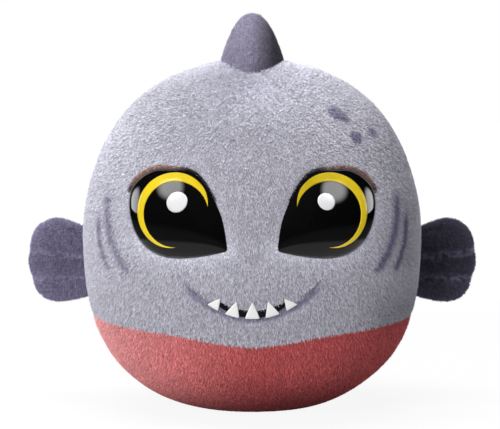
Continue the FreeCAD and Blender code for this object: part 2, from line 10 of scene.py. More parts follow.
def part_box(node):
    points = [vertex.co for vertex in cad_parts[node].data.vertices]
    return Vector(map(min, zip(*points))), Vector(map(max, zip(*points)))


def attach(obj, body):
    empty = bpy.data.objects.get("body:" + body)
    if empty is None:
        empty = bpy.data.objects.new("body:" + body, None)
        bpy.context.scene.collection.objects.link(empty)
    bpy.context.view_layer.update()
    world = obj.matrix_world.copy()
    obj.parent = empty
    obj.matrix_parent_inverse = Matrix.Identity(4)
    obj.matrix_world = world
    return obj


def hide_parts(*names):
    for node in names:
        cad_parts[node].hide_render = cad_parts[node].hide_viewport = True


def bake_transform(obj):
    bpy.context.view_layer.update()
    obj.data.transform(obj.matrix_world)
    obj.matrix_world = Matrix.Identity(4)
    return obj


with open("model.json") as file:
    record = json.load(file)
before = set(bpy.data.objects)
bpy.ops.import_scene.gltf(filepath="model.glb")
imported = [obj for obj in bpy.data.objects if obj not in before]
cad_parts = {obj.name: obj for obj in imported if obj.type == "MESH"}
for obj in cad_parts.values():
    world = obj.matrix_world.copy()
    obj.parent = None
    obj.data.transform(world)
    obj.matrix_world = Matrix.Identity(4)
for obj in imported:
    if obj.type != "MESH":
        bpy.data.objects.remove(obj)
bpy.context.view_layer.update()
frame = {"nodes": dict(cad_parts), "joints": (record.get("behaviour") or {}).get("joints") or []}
scene = bpy.context.scene
mm = 0.001
bothSides = (("left", -1), ("right", 1))

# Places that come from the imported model.
faceLow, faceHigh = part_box("face_panel")
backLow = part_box("back_panel_left")[0]
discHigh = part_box("base_disc")[1]
finRoots = {joint["name"]: Vector(joint["pos_m"]) for joint in frame["joints"]}


# ---- node trees ----


def mathStep(operation, swapped=False):
    # A method of Value that adds one Math node.
    def add(self, *others):
        values = [*others, self] if swapped else [self, *others]
        return self.nodes.add("ShaderNodeMath", {"operation": operation}, values)

    return add


class Value:
    # One output socket. Sums on it add Math nodes to its tree.
    def __init__(self, nodes, socket):
        self.nodes, self.socket = nodes, socket

    __add__ = __radd__ = mathStep("ADD")
    __mul__ = __rmul__ = mathStep("MULTIPLY")
    __sub__, __rsub__ = mathStep("SUBTRACT"), mathStep("SUBTRACT", True)
    __truediv__, __rtruediv__ = mathStep("DIVIDE"), mathStep("DIVIDE", True)
    __pow__, __abs__, most = mathStep("POWER"), mathStep("ABSOLUTE"), mathStep("MAXIMUM")
    isBelow, arcTangent = mathStep("LESS_THAN"), mathStep("ARCTAN2")

    def rise(self, low, high):
        # 0 below low, 1 above high, smooth between; high may be below low
        ends = [low, high, 0, 1] if low < high else [high, low, 1, 0]
        return self.nodes.add("ShaderNodeMapRange", {"interpolation_type": "SMOOTHSTEP"}, [self, *ends])


class Nodes:
    def __init__(self, owner, tree):
        self.owner, self.tree = owner, tree

    def add(self, kind, settings=None, sockets=None, output=0):
        # sockets is a list in order, or a dictionary by name or number
        node = self.tree.nodes.new(kind)
        for key, value in (settings or {}).items():
            setattr(node, key, value)
        given = enumerate(sockets) if isinstance(sockets, list) else (sockets or {}).items()
        for key, value in given:
            if isinstance(value, Value):
                self.tree.links.new(value.socket, node.inputs[key])
            elif value is not None:
                node.inputs[key].default_value = value
        return Value(self, node.outputs[output]) if len(node.outputs) else node

    def outputs(self, kind, sockets=None):
        # All outputs of a new node, by name.
        node = self.add(kind, None, sockets).socket.node
        return {socket.name: Value(self, socket) for socket in node.outputs}

    def vector(self, operation, a, b=None, output=0):
        return self.add("ShaderNodeVectorMath", {"operation": operation}, [a, b], output)

    def scaled(self, vector, factor):
        return self.add("ShaderNodeVectorMath", {"operation": "SCALE"}, {0: vector, "Scale": factor})

    def parts(self, vector):
        return self.outputs("ShaderNodeSeparateXYZ", [vector]).values()

    def here(self):
        return self.add("ShaderNodeTexCoord", None, None, 3)

    def stored(self, name, output=2):
        return self.add("ShaderNodeAttribute", {"attribute_name": name}, None, output)

    def noise(self, place, size, detail=2.0, output=0):
        # size is the pattern's own size in metres
        sockets = {"Vector": place, "Scale": 1 / size, "Detail": detail}
        return self.add("ShaderNodeTexNoise", None, sockets, output)

    def mixed(self, factor, a, b, way="MIX"):
        a, b = (colour if isinstance(colour, Value) else (*colour, 1.0) for colour in (a, b))
        settings = {"data_type": "RGBA", "blend_type": way}
        return self.add("ShaderNodeMix", settings, {0: factor, 6: a, 7: b}, 2)

    def toned(self, colour, light):
        shade = self.add("ShaderNodeCombineXYZ", None, [light, light, light])
        return self.mixed(1.0, colour, shade, "MULTIPLY")

    def surface(self, colour, roughness, more):
        sockets = {"Base Color": colour, "Roughness": roughness, **more}
        return self.add("ShaderNodeBsdfPrincipled", None, sockets)

    def finish(self, shader, kind="ShaderNodeOutputMaterial"):
        self.add(kind, None, {"Surface": shader})
        return self.owner


def emptyNodes(owner):
    owner.use_nodes = True
    owner.node_tree.nodes.clear()
    return Nodes(owner, owner.node_tree)


# ---- materials ----

tints = {
    "grey": (0.595, 0.588, 0.668),
    "red": (0.660, 0.108, 0.112),
    # Painted sheen: the red pile is mixed towards this pale pink on its left, where the light grazes it.
    "redPaintedSheen": (0.800, 0.500, 0.500),
    "purple": (0.205, 0.185, 0.285),
    "dorsal": (0.221, 0.201, 0.280),
    "mark": (0.205, 0.185, 0.310),
    "rust": (0.260, 0.150, 0.120),
    "lashDark": (0.030, 0.022, 0.030),
}

# Marks on the face, in millimetres: gills by angle round the ball, spots and the
# smile by where they show from the front.
marks = {
    "leftGills": 0.72,  # how strong they are against the right ones
    "gills": [
        {"top": 131.0, "angle": 58.4, "curve": 0.0066, "low": 84.0, "width": 4.2, "depth": 0.95},
        {"top": 119.0, "angle": 63.4, "curve": 0.0075, "low": 84.0, "width": 3.2, "depth": 1.0},
    ],
    "spots": [
        {"x": 48.1, "z": 173.4, "long": 7.6, "short": 2.9, "turn": -32.0, "depth": 0.80},
        {"x": 57.9, "z": 160.9, "long": 4.1, "short": 3.0, "turn": -50.0, "depth": 0.85},
        {"x": 67.9, "z": 163.2, "long": 3.7, "short": 2.6, "turn": -50.0, "depth": 0.70},
    ],
    "smile": {"low": 62.4, "bend": 0.0131, "reach": 38.5, "width": 1.6, "wider": 1.5, "depth": 0.7},
}


def gillMask(x, y, z, gill, wobble):
    angle = abs(x).arcTangent(y * -1) * degrees(1)
    line = gill["angle"] - (gill["top"] - z) ** 2 * gill["curve"]
    away = abs(angle - line) * radians(faceHigh.x / mm) + wobble * 2.4
    across = away.rise(gill["width"] * 1.8, 0.0)
    ends = z.rise(gill["top"] + 2, gill["top"] - 7) * z.rise(gill["low"] - 1, gill["low"] + 5)
    left = marks["leftGills"]
    return across * ends * gill["depth"] * (left + (1 - left) * x.rise(-5, 5))


def spotMask(x, z, spot, wobble):
    turn = radians(spot["turn"])
    dx, dz = x - spot["x"], z - spot["z"]
    along = (dx * cos(turn) + dz * sin(turn)) / spot["long"]
    across = (dz * cos(turn) - dx * sin(turn)) / spot["short"]
    away = (along * along + across * across) ** 0.5 + wobble * 0.9
    return away.rise(1.35, 0.5) * spot["depth"]


def faceMarks(nodes, place):
    # How far each point of the face is tinted towards the mark colour.
    x, y, z = nodes.parts(nodes.scaled(place, 1 / mm))
    wobble = nodes.noise(place, 3 * mm) * 0.6 + nodes.noise(place, 1.1 * mm) * 0.8 - 0.7
    masks = [gillMask(x, y, z, gill, wobble) for gill in marks["gills"]]
    masks += [spotMask(x, z, spot, wobble) for spot in marks["spots"]]
    smile = marks["smile"]
    off = abs(z - smile["low"] - x * x * smile["bend"]) + wobble * 1.2
    ends = abs(x).rise(smile["reach"] + 1, smile["reach"] - 5)
    width = smile["width"] + x * x * (smile["wider"] / smile["reach"] ** 2)
    masks.append((off / width).rise(1.5, 0.5) * ends * smile["depth"])
    most = masks[0]
    for mask in masks[1:]:
        most = most.most(mask)
    return most * y.rise(0.0, -5.0)


# root: how dark a fibre's root is painted, as shade among the fibres.
pileLook = {"cloud": 0.16, "fine": 1.1, "chance": 0.5, "root": 0.6, "sheen": 0.0, "soft": 0.5}


def pileMaterial(name, tint, marked=False, onSkin=False, second=None, look=None):
    # Short pile. A fibre takes its tint from the place of its root.
    look = pileLook | (look or {})
    nodes = emptyNodes(bpy.data.materials.new(name))
    place = nodes.here() if onSkin else nodes.stored("root", 1)
    colour = tints[tint]
    if marked:
        colour = nodes.mixed(faceMarks(nodes, place), colour, tints["mark"])
    if second:
        colour = nodes.mixed(nodes.stored("second"), colour, tints[second])
    patches = nodes.noise(place, 14 * mm, 3.0) - 0.5
    fine = nodes.noise(place, 1.5 * mm) - 0.5
    # The stored field adds painted light and shade, and on the fins the lighter pile along the stitched
    # lines.
    light = (1 + patches * look["cloud"] + fine * look["fine"]) * (1 + nodes.stored("tone"))
    # Painted shade among the fibres: the skin under them and each fibre's root are darker, the tips a
    # little lighter.
    if onSkin:
        light = light * look["root"] * 0.9
    else:
        light = light * (1 - look["chance"] / 2 + nodes.stored("chance") * look["chance"])
        light = light * (look["root"] + nodes.stored("along") * (1.1 - look["root"]))
    more = {"Specular IOR Level": 0.15, "Sheen Weight": look["sheen"], "Sheen Roughness": 0.5}
    more["Sheen Tint"] = (*[0.55 + 0.45 * part for part in tints[tint]], 1.0)
    if not onSkin:
        # Fibres scatter light among themselves, so they are shaded much like the skin.
        own = nodes.scaled(nodes.add("ShaderNodeNewGeometry", None, None, 1), 1 - look["soft"])
        under = nodes.scaled(nodes.stored("skinNormal", 1), look["soft"])
        more["Normal"] = nodes.vector("NORMALIZE", nodes.vector("ADD", own, under))
    return nodes.finish(nodes.surface(nodes.toned(colour, light), 0.95, more))


def glossMaterial(name, tint, roughness=0.04, streak=0.0, matted=False):
    # Moulded eye plastic: very smooth, with a faint mould haze.
    nodes = emptyNodes(bpy.data.materials.new(name))
    haze = nodes.noise(nodes.here(), 9 * mm, 3.0)
    # The stored field adds painted light and shade: the rings' shaded tops and lit sides, and the dots
    # dimmed.
    light = 1 + (haze - 0.5) * (0.06 + streak) + nodes.stored("tone")
    colour = nodes.toned(tint, light)
    more = {"Coat Roughness": 0.02, "Coat Weight": 0.3}
    shader = nodes.surface(colour, roughness + haze * 0.02, more)
    if matted:
        # The slope towards the nose lies in the shade of the fringe and mirrors nothing.
        matt = nodes.surface(colour, 0.9, {"Specular IOR Level": 0.02})
        shader = nodes.add("ShaderNodeMixShader", None, [nodes.stored("dull"), shader, matt])
    return nodes.finish(shader)


def feltMaterial(name, tint, size=0.8 * mm):
    # Pressed fibres: small soft specks and a matching bump.
    nodes = emptyNodes(bpy.data.materials.new(name))
    here = nodes.here()
    fibres = nodes.noise(here, size, 5.0)
    colour = nodes.toned(tint, 0.86 + fibres * 0.18 + nodes.noise(here, 6 * size) * 0.08)
    bump = nodes.add("ShaderNodeBump", None, {"Strength": 0.5, "Distance": 0.3 * mm, "Height": fibres})
    return nodes.finish(nodes.surface(colour, 0.95, {"Normal": bump, "Sheen Weight": 0.2}))


def satinMaterial(name, tint):
    # A satin weave: fine long floats across the strip.
    nodes = emptyNodes(bpy.data.materials.new(name))
    here = nodes.here()
    sockets = {"Vector": here, "Scale": 900.0, "Distortion": 1.5, "Detail": 2.0}
    floats = nodes.add("ShaderNodeTexWave", {"bands_direction": "Z"}, sockets, 1)
    colour = nodes.toned(tint, 0.7 + floats * 0.4 + nodes.noise(here, 4 * mm) * 0.3)
    bump = nodes.add("ShaderNodeBump", None, {"Strength": 0.2, "Distance": 0.03 * mm, "Height": floats})
    return nodes.finish(nodes.surface(colour, 0.5, {"Normal": bump, "Specular IOR Level": 0.12}))


# ---- sums and meshes ----


def ramp(value, start, end):
    # 0 at start and 1 at end, which may be the lower one.
    return np.clip((value - start) / (end - start), 0, 1)


def hill(value, middle, width):
    return np.exp(-(((value - middle) / width) ** 2))


def unevenness(points, scale, *more):
    # Smooth noise at each point.
    return np.array([noise.noise(Vector((*point, *more)) * scale) for point in points])


def beside(*columns):
    return np.column_stack(columns)


def unit(ways):
    return ways / np.linalg.norm(ways, axis=1)[:, None]


def turned(matrix, ways):
    return ways @ np.array(matrix.to_3x3()).T


def toWorld(matrix, local):
    return turned(matrix, local) + np.array(matrix.translation)


def linked(name, data):
    thing = bpy.data.objects.new(name, data)
    scene.collection.objects.link(thing)
    return thing


def newPiece(name, points, faces, smooth=True, join=True):
    mesh = bpy.data.meshes.new(name)
    mesh.from_pydata([tuple(point) for point in points], [], faces)
    if join:
        work = bmesh.new()
        work.from_mesh(mesh)
        bmesh.ops.remove_doubles(work, verts=work.verts, dist=0.002 * mm)
        bmesh.ops.recalc_face_normals(work, faces=work.faces)
        work.to_mesh(mesh)
        work.free()
    mesh.polygons.foreach_set("use_smooth", [smooth] * len(mesh.polygons))
    return linked(name, mesh)


def placesOf(mesh):
    flat = np.empty(len(mesh.vertices) * 3, np.float32)
    mesh.vertices.foreach_get("co", flat)
    return flat.reshape(-1, 3).astype(float)


def flatPlaces(piece, matrix, side):
    # The piece's points in a flat frame of its own, with the left side mirrored.
    return toWorld(matrix.inverted(), placesOf(piece.data))[:, :2] * (side, 1)


def store(piece, **fields):
    # A number or a direction for each point, under its own name.
    for name, values in fields.items():
        values = np.asarray(values, np.float32)
        plain = values.ndim == 1
        attribute = piece.data.attributes.new(name, "FLOAT" if plain else "FLOAT_VECTOR", "POINT")
        attribute.data.foreach_set("value" if plain else "vector", values.ravel())


def alongSkin(piece, wish):
    # Wished directions laid along the skin, each of length 1.
    normals = np.empty(len(piece.data.vertices) * 3, np.float32)
    piece.data.vertex_normals.foreach_get("vector", normals)
    normals = normals.reshape(-1, 3)
    laid = wish - normals * (wish * normals).sum(1)[:, None]
    return laid / (np.linalg.norm(laid, axis=1)[:, None] + 1e-3)


def applyModifiers(piece):
    graph = bpy.context.evaluated_depsgraph_get()
    mesh = bpy.data.meshes.new_from_object(piece.evaluated_get(graph))
    piece.modifiers.clear()
    old, piece.data = piece.data, mesh
    bpy.data.meshes.remove(old)


def wear(piece, material):
    piece.data.materials.clear()
    piece.data.materials.append(material)


def onBall(piece, slot, node=None, material=None):
    if material:
        wear(piece, material)
    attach(piece, "body")
    if node:
        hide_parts(node)


# ---- the ball's outline ----

ball = {
    "radius": faceHigh.x,
    "height": faceHigh.z,
    "widest": 98.5 * mm,
    "shoulderBend": 85.0 * mm,
    "shoulderStart": 20.0,
    "shoulderEnd": 66.0,
    "flatRadius": 22.0 * mm,
    "cornerInset": 1.5 * mm,
    "seamY": faceHigh.y,
    "bellyHeight": backLow.z,
    "bellyDip": faceLow.z,
    "bellyKnee": Vector((45.0, 51.5)) * mm,
    "discRadius": discHigh.x,
}


def outlineArcs():
    # Centre, radius and first and last angle of the five arcs, from the floor up.
    radius, widest, bend = ball["radius"], ball["widest"], ball["shoulderBend"]
    start, end = radians(ball["shoulderStart"]), radians(ball["shoulderEnd"])
    matrix = [[cos(start) - 1, -cos(end)], [sin(start), 1 - sin(end)]]
    target = [
        bend * (cos(start) - cos(end)) - radius,
        bend * (sin(start) - sin(end)) + ball["height"] - widest,
    ]
    sideBend, crownBend = np.linalg.solve(matrix, target)
    side = (radius - sideBend, widest)
    reach = sideBend - bend
    shoulder = (side[0] + reach * cos(start), side[1] + reach * sin(start))
    crown = (0.0, ball["height"] - crownBend)
    flat = ball["flatRadius"]
    across = radius - flat
    cornerBend = across - ball["cornerInset"]
    up = widest - cornerBend
    lowBend = (across**2 + up**2 - cornerBend**2) / (2 * (across - cornerBend))
    low = (radius - lowBend, widest)
    lowStart = atan2(cornerBend - low[1], flat - low[0])
    return [
        ((flat, cornerBend), cornerBend, -pi / 2, lowStart),
        (low, lowBend, lowStart, 0.0),
        (side, sideBend, 0.0, start),
        (shoulder, bend, start, end),
        (crown, crownBend, end, pi / 2),
    ]


def outlineTable():
    # Radius, height and tilt of the normal along the outline, and the way from the floor's centre.
    rows = [(0.0, 0.0, -pi / 2)]
    for (cx, cz), bend, first, last in outlineArcs():
        rows += [(cx + bend * cos(a), cz + bend * sin(a), a) for a in np.linspace(first, last, 200)]
    radius, height, tilt = np.array(rows).T
    way = np.concatenate([[0], np.cumsum(np.hypot(np.diff(radius), np.diff(height)))])
    return radius, height, tilt, way


outRadius, outHeight, outTilt, outWay = outlineTable()
wallStart = int(np.argmax(outTilt > -pi / 2 + 1e-4))  # where the flat base ends


def wallAt(height):
    # Radius and tilt of the ball's wall at a height.
    return [np.interp(height, outHeight[wallStart:], table[wallStart:]) for table in (outRadius, outTilt)]


def bellyLine(x, y):
    # Height of the seam between grey and red: level behind, dipping at the front.
    knee = ball["bellyKnee"]
    xs = [0.0, knee.x, ball["radius"]]
    front = np.interp(np.abs(x), xs, [ball["bellyDip"], knee.y, ball["bellyHeight"]])
    return np.where(y > ball["seamY"], ball["bellyHeight"], front + hill(x, 0, 12 * mm) * mm)


def inBall(points):
    # How far points lie inside the ball, roughly, in metres.
    inside = np.interp(points[:, 2], outHeight, outRadius, 0.0, 0.0)
    return inside - np.hypot(points[:, 0], points[:, 1])


def ballUnder(matrix, points):
    # The ball's surface under points of a frame, as heights in that frame.
    found = np.zeros(len(points))
    for _ in range(6):
        found += inBall(toWorld(matrix, beside(points, found)))
    return found


def frontPoints(flat, lift):
    # Points seen from the front (x, z) laid on the ball's face, lifted off it.
    x, z = flat.T
    radius, tilt = wallAt(z)
    y = -np.sqrt(np.maximum(radius**2 - x**2, 0))
    level = np.cos(tilt) / radius
    normal = beside(x * level, y * level, np.sin(tilt))
    return beside(x, y, z) + normal * np.asarray(lift)[..., None]


# ---- eye and fin forms: a membrane blown up inside an outline ----


def arcLoop(corners, samples=48):
    # A closed outline through corners; each has x, y and how far its edge bulges.
    middle = np.mean([corner[:2] for corner in corners], axis=0)
    points = []
    for number, (x, y, bulge) in enumerate(corners):
        here = np.array([x, y])
        there = np.array(corners[(number + 1) % len(corners)][:2])
        way = np.linspace(0, 1, samples, endpoint=False)[:, None]
        chord = there - here
        out = np.array([chord[1], -chord[0]]) / np.linalg.norm(chord)
        if out @ ((here + there) / 2 - middle) < 0:
            out = -out
        points.append(here + chord * way + out * (4 * bulge * way * (1 - way)))
    return np.concatenate(points)


def evened(loop, count, rounds=2):
    # The same closed outline at even steps, with its corners rounded.
    closed = np.vstack([loop, loop[:1]])
    way = np.concatenate([[0], np.cumsum(np.linalg.norm(np.diff(closed, axis=0), axis=1))])
    steps = np.linspace(0, way[-1], count, endpoint=False)
    even = beside(*(np.interp(steps, way, closed[:, i]) for i in (0, 1)))
    for _ in range(rounds):
        even = (np.roll(even, 1, 0) + 2 * even + np.roll(even, -1, 0)) / 4
    return even


def grown(loop, distance):
    # The outline moved outwards.
    way = np.roll(loop, -1, 0) - np.roll(loop, 1, 0)
    out = unit(beside(way[:, 1], -way[:, 0]))
    turns = np.sum(loop[:, 0] * np.roll(loop[:, 1], -1) - loop[:, 1] * np.roll(loop[:, 0], -1))
    return loop + out * (distance if turns > 0 else -distance)


def insideLoop(loop, x, y):
    inside = np.zeros(x.shape, bool)
    for (ax, ay), (bx, by) in zip(loop, np.roll(loop, -1, 0)):
        crosses = (ay > y) != (by > y)
        if ay != by:
            inside ^= crosses & (x < (bx - ax) * (y - ay) / (by - ay) + ax)
    return inside


class Membrane:
    # Height 0 to 1 over the inside of an outline, like a blown-up skin.
    def __init__(self, loop, step, rounds=2500, power=0.5):
        self.low = loop.min(0) - 2 * step
        self.step = step
        size = np.ceil((loop.max(0) + 2 * step - self.low) / step).astype(int) + 1
        x = self.low[0] + step * np.arange(size[0])[:, None] + np.zeros(size)
        y = self.low[1] + step * np.arange(size[1])[None, :] + np.zeros(size)
        inside = insideLoop(loop, x, y)
        grid = np.zeros(size)
        for _ in range(rounds):
            around = np.zeros(size)
            around[1:-1, 1:-1] = grid[:-2, 1:-1] + grid[2:, 1:-1] + grid[1:-1, :-2] + grid[1:-1, 2:]
            grid = np.where(inside, around / 4 + 1e-3, 0)
        self.grid, self.power = grid / grid.max(), power

    def at(self, points):
        place = (points - self.low) / self.step
        cell = np.clip(np.floor(place).astype(int), 0, np.array(self.grid.shape) - 2)
        part = place - cell
        (i, j), (u, v) = cell.T, part.T
        found = self.grid[i, j] * (1 - u) * (1 - v) + self.grid[i + 1, j] * u * (1 - v)
        found += self.grid[i, j + 1] * (1 - u) * v + self.grid[i + 1, j + 1] * u * v
        return np.maximum(found, 0) ** self.power


def fanGrid(loop, centre, rings):
    # Points from a centre out to an outline, close together near the rim.
    shares = np.sin(np.linspace(0, pi / 2, rings + 1))
    return [centre + (loop - centre) * share for share in shares]


def gridFaces(rows, count, closed=True, start=0):
    # The faces between rows of points; a closed row meets its own start.
    faces = []
    for row in range(rows - 1):
        for number in range(count if closed else count - 1):
            a = start + row * count + number
            b = start + row * count + (number + 1) % count
            faces.append((a, b, b + count, a + count))
    return faces


def fan(middle, start, count):
    return [(middle, start + i, start + (i + 1) % count) for i in range(count)]


def fanDisc(loop, centre, rings, walls=0):
    # Points and faces from a centre out to an outline; rows of wall may follow.
    rows = fanGrid(loop, centre, rings)[1:]
    faces = fan(0, 1, len(loop)) + gridFaces(rings + walls, len(loop), start=1)
    return np.concatenate([centre[None]] + rows), faces


def doubled(faces, count, rim=()):
    # Both skins of a thin piece: the second is turned over, and walls join them at the rim.
    under = [tuple(count + i for i in reversed(face)) for face in faces]
    return faces + under + [(a, b, b + count, a + count) for a, b in rim]


def slabPiece(name, skins, rows, closed=False):
    # Two skins over the same grid of points, joined along its edge.
    total = len(skins[0])
    count = total // rows
    last = total - count
    faces = gridFaces(rows, count, closed)
    if closed:
        faces.append(tuple(reversed(range(count))))
        rim = list(range(last, total))
    else:
        rim = list(range(count)) + [row * count + count - 1 for row in range(1, rows)]
        rim += [last + i for i in range(count - 2, -1, -1)]
        rim += [row * count for row in range(rows - 2, 0, -1)]
    return newPiece(name, np.vstack(skins), doubled(faces, total, zip(rim, rim[1:] + rim[:1])))


# ---- pile: fibres on a skin, made with Geometry Nodes ----

pileInputs = {
    "Skin": None, "Density": 2.0e6, "Length": 1.8 * mm, "Width": 0.3 * mm, "Seed": 1,
    "Comb": 1.1, "Clump": 0.6, "Clump size": 3.0 * mm, "Spread": 0.35, "Finish": None,
    "Bare low": 0.0, "Bare bend": 0.0, "Bare half": 0.0, "Bare reach": 0.0,
}
pileKinds = {"Skin": "Geometry", "Seed": "Int", "Finish": "Material"}


def pileTree():
    tree = bpy.data.node_groups.new("pile", "GeometryNodeTree")
    nodes = Nodes(tree, tree)
    for name, value in pileInputs.items():
        kind = "NodeSocket" + pileKinds.get(name, "Float")
        socket = tree.interface.new_socket(name, in_out="INPUT", socket_type=kind)
        if value is not None:
            socket.default_value = value
    tree.interface.new_socket("Pile", in_out="OUTPUT", socket_type="NodeSocketGeometry")
    given = nodes.outputs("NodeGroupInput")

    def named(name, kind="FLOAT"):
        return nodes.add("GeometryNodeInputNamedAttribute", {"data_type": kind}, {"Name": name})

    def kept(geometry, name, field, kind="FLOAT"):
        settings = {"data_type": kind, "domain": "POINT"}
        sockets = {"Geometry": geometry, "Name": name, "Value": field}
        return nodes.add("GeometryNodeStoreNamedAttribute", settings, sockets)

    def chance(low, high, extra, kind="FLOAT"):
        first = 0 if kind == "FLOAT_VECTOR" else 2
        sockets = {first: low, first + 1: high, "ID": index, "Seed": given["Seed"] + extra}
        return nodes.add("FunctionNodeRandomValue", {"data_type": kind}, sockets, first // 2)

    position = nodes.add("GeometryNodeInputPosition")
    index = nodes.add("GeometryNodeInputIndex")
    density = given["Density"] * named("pileShare")
    sockets = {"Mesh": given["Skin"], "Density": density, "Seed": given["Seed"]}
    scatter = nodes.outputs("GeometryNodeDistributePointsOnFaces", sockets)
    # No fibre grows on the curved band of the mouth.
    x, _, z = nodes.parts(nodes.scaled(position, 1 / mm))
    off = abs(z - given["Bare low"] - x * x * given["Bare bend"])
    bare = off.isBelow(given["Bare half"]) * abs(x).isBelow(given["Bare reach"])
    sockets = {"Geometry": scatter["Points"], "Selection": bare}
    points = nodes.add("GeometryNodeDeleteGeometry", {"domain": "POINT"}, sockets)
    sockets = {"Vector": position, "Scale": 1.0 / given["Clump size"], "Detail": 1.0}
    clump = nodes.add("ShaderNodeTexNoise", None, sockets, 1)
    clump = nodes.vector("SUBTRACT", clump, (0.5, 0.5, 0.5))
    lean = nodes.scaled(named("comb", "FLOAT_VECTOR"), given["Comb"])
    lean = nodes.vector("ADD", lean, nodes.scaled(clump, given["Clump"] * 2.0))
    jitter = chance((-1, -1, -1), (1, 1, 1), 7, "FLOAT_VECTOR")
    lean = nodes.vector("ADD", lean, nodes.scaled(jitter, given["Spread"]))
    upright = nodes.vector("NORMALIZE", nodes.vector("ADD", scatter["Normal"], lean))
    points = kept(points, "root", position, "FLOAT_VECTOR")
    points = kept(points, "skinNormal", scatter["Normal"], "FLOAT_VECTOR")
    points = kept(points, "chance", chance(0.0, 1.0, 3))
    spin = nodes.add("ShaderNodeCombineXYZ", None, [0.0, 0.0, chance(0.0, 2 * pi, 5)])
    spin = nodes.add("FunctionNodeEulerToRotation", None, [spin])
    sockets = {"Rotation": spin, "Vector": upright}
    turn = nodes.add("FunctionNodeAlignRotationToVector", {"axis": "Z"}, sockets)
    sockets = {"Vertices": 3, "Side Segments": 1, "Fill Segments": 1}
    sockets |= {"Radius Top": 0.0, "Radius Bottom": 1.0, "Depth": 1.0}
    blade = nodes.add("GeometryNodeMeshCone", {"fill_type": "NGON"}, sockets)
    _, _, rise = nodes.parts(nodes.add("GeometryNodeInputPosition"))
    blade = kept(blade, "along", rise)
    width = given["Width"] * chance(0.75, 1.25, 11)
    length = given["Length"] * named("pileLength") * chance(0.7, 1.15, 13)
    size = nodes.add("ShaderNodeCombineXYZ", None, [width, width, length])
    sockets = {"Points": points, "Instance": blade, "Rotation": turn, "Scale": size}
    fibres = nodes.add("GeometryNodeInstanceOnPoints", None, sockets)
    whole = nodes.add("GeometryNodeRealizeInstances", None, [fibres])
    sockets = {"Geometry": whole, "Material": given["Finish"]}
    whole = nodes.add("GeometryNodeSetMaterial", None, sockets)
    nodes.add("NodeGroupOutput", None, [whole])
    return tree


pileGroup = pileTree()
pileSockets = {item.name: item.identifier for item in pileGroup.interface.items_tree}
bladeCorners = 4  # a fibre's vertices: three at its root and its tip


def layBakeMap(mesh):
    # Each fibre has a cell of its own on the map, because its tint is its own.
    fibres = len(mesh.vertices) // bladeCorners
    across = max(ceil(sqrt(fibres)), 1)
    corner = np.empty(len(mesh.loops), np.int64)
    mesh.loops.foreach_get("vertex_index", corner)
    fibre, part = corner // bladeCorners, corner % bladeCorners
    first = placesOf(mesh)[:bladeCorners]
    tip = int(np.linalg.norm(first[:, None] - first[None], axis=2).sum(1).argmax())  # the farthest one
    spots = np.array([(0.12, 0.12), (0.88, 0.12), (0.5, 0.88)])
    local = np.empty((bladeCorners, 2))
    local[[number for number in range(bladeCorners) if number != tip]] = spots
    local[tip] = spots.mean(0)
    places = local[part]
    hidden = np.repeat(~(part.reshape(-1, 3) == tip).any(1), 3)  # the face at a fibre's root
    places[hidden] *= 0.1
    cell = beside(fibre % across, fibre // across)
    layer = mesh.uv_layers.new(name="OFBake")
    layer.data.foreach_set("uv", ((cell + places) / across).astype(np.float32).ravel())


def growPile(name, skin, material, **settings):
    # Fibres on a copy of a skin, as a plain mesh of their own.
    piece = linked(name, skin.data.copy())
    modifier = piece.modifiers.new("pile", "NODES")
    modifier.node_group = pileGroup
    for key, value in {**settings, "Finish": material}.items():
        modifier[pileSockets[key.replace("_", " ")]] = value
    applyModifiers(piece)
    layBakeMap(piece.data)
    print("pile", name, len(piece.data.vertices) // bladeCorners * 4, "triangles")
    return piece


# ---- skins of the ball ----

grid = {"columns": 264, "discRows": 14, "bellyRows": 36, "upperRows": 84}
sewing = {
    "seam": {"half": 2.2 * mm, "deep": 1.3 * mm},
    "belly": {"half": 2.0 * mm, "deep": 0.5 * mm},
    "tucked": ([0, 26, 55, 72], [3.0, 1.5, 1.0, 0.0]),  # millimetres, by height
    "swell": 0.7 * mm,
    "pucker": {"high": 0.8 * mm, "reach": 9 * mm},
    "wall": 1.6 * mm,
}


def ballRows():
    # Ways along the outline for every row and column, with rows on the seams.
    angles = np.linspace(0, 2 * pi, grid["columns"], endpoint=False)
    heights = bellyLine(ball["radius"] * np.sin(angles), -ball["radius"] * np.cos(angles))
    seam = np.interp(heights, outHeight[wallStart:], outWay[wallStart:])
    base = slice(2 * wallStart + 100)
    disc = np.full_like(seam, np.interp(ball["discRadius"], outRadius[base], outWay[base]))
    top = np.full_like(seam, outWay[-1])
    spans = ((0 * seam, disc, "discRows"), (disc, seam, "bellyRows"), (seam, top, "upperRows"))
    rows, zones = [], []
    for zone, (a, b, key) in enumerate(spans):
        rows += [a + (b - a) * number / grid[key] for number in range(grid[key])]
        zones += [zone] * grid[key]
    return angles, np.array(rows + [top]), zones


def softForm(points, normals):
    # The skin's own unevenness: seam grooves with small puckers, and slow swells.
    x, y, z = points.T
    seam, belly, pucker = sewing["seam"], sewing["belly"], sewing["pucker"]
    away = y - ball["seamY"]
    pull = hill(away, 0, seam["half"]) + hill(x, 0, seam["half"]) * ramp(y, 0, 20 * mm)
    pull = pull * seam["deep"] + hill(z - bellyLine(x, y), 0, belly["half"]) * belly["deep"]
    points = points - normals * (1, 1, 0) * np.interp(z / mm, *sewing["tucked"])[:, None] * mm
    swell = unevenness(points, 22) * sewing["swell"]
    swell += unevenness(points, 110) * pucker["high"] * np.exp(-np.abs(away) / pucker["reach"])
    return points + normals * (swell - pull)[:, None]


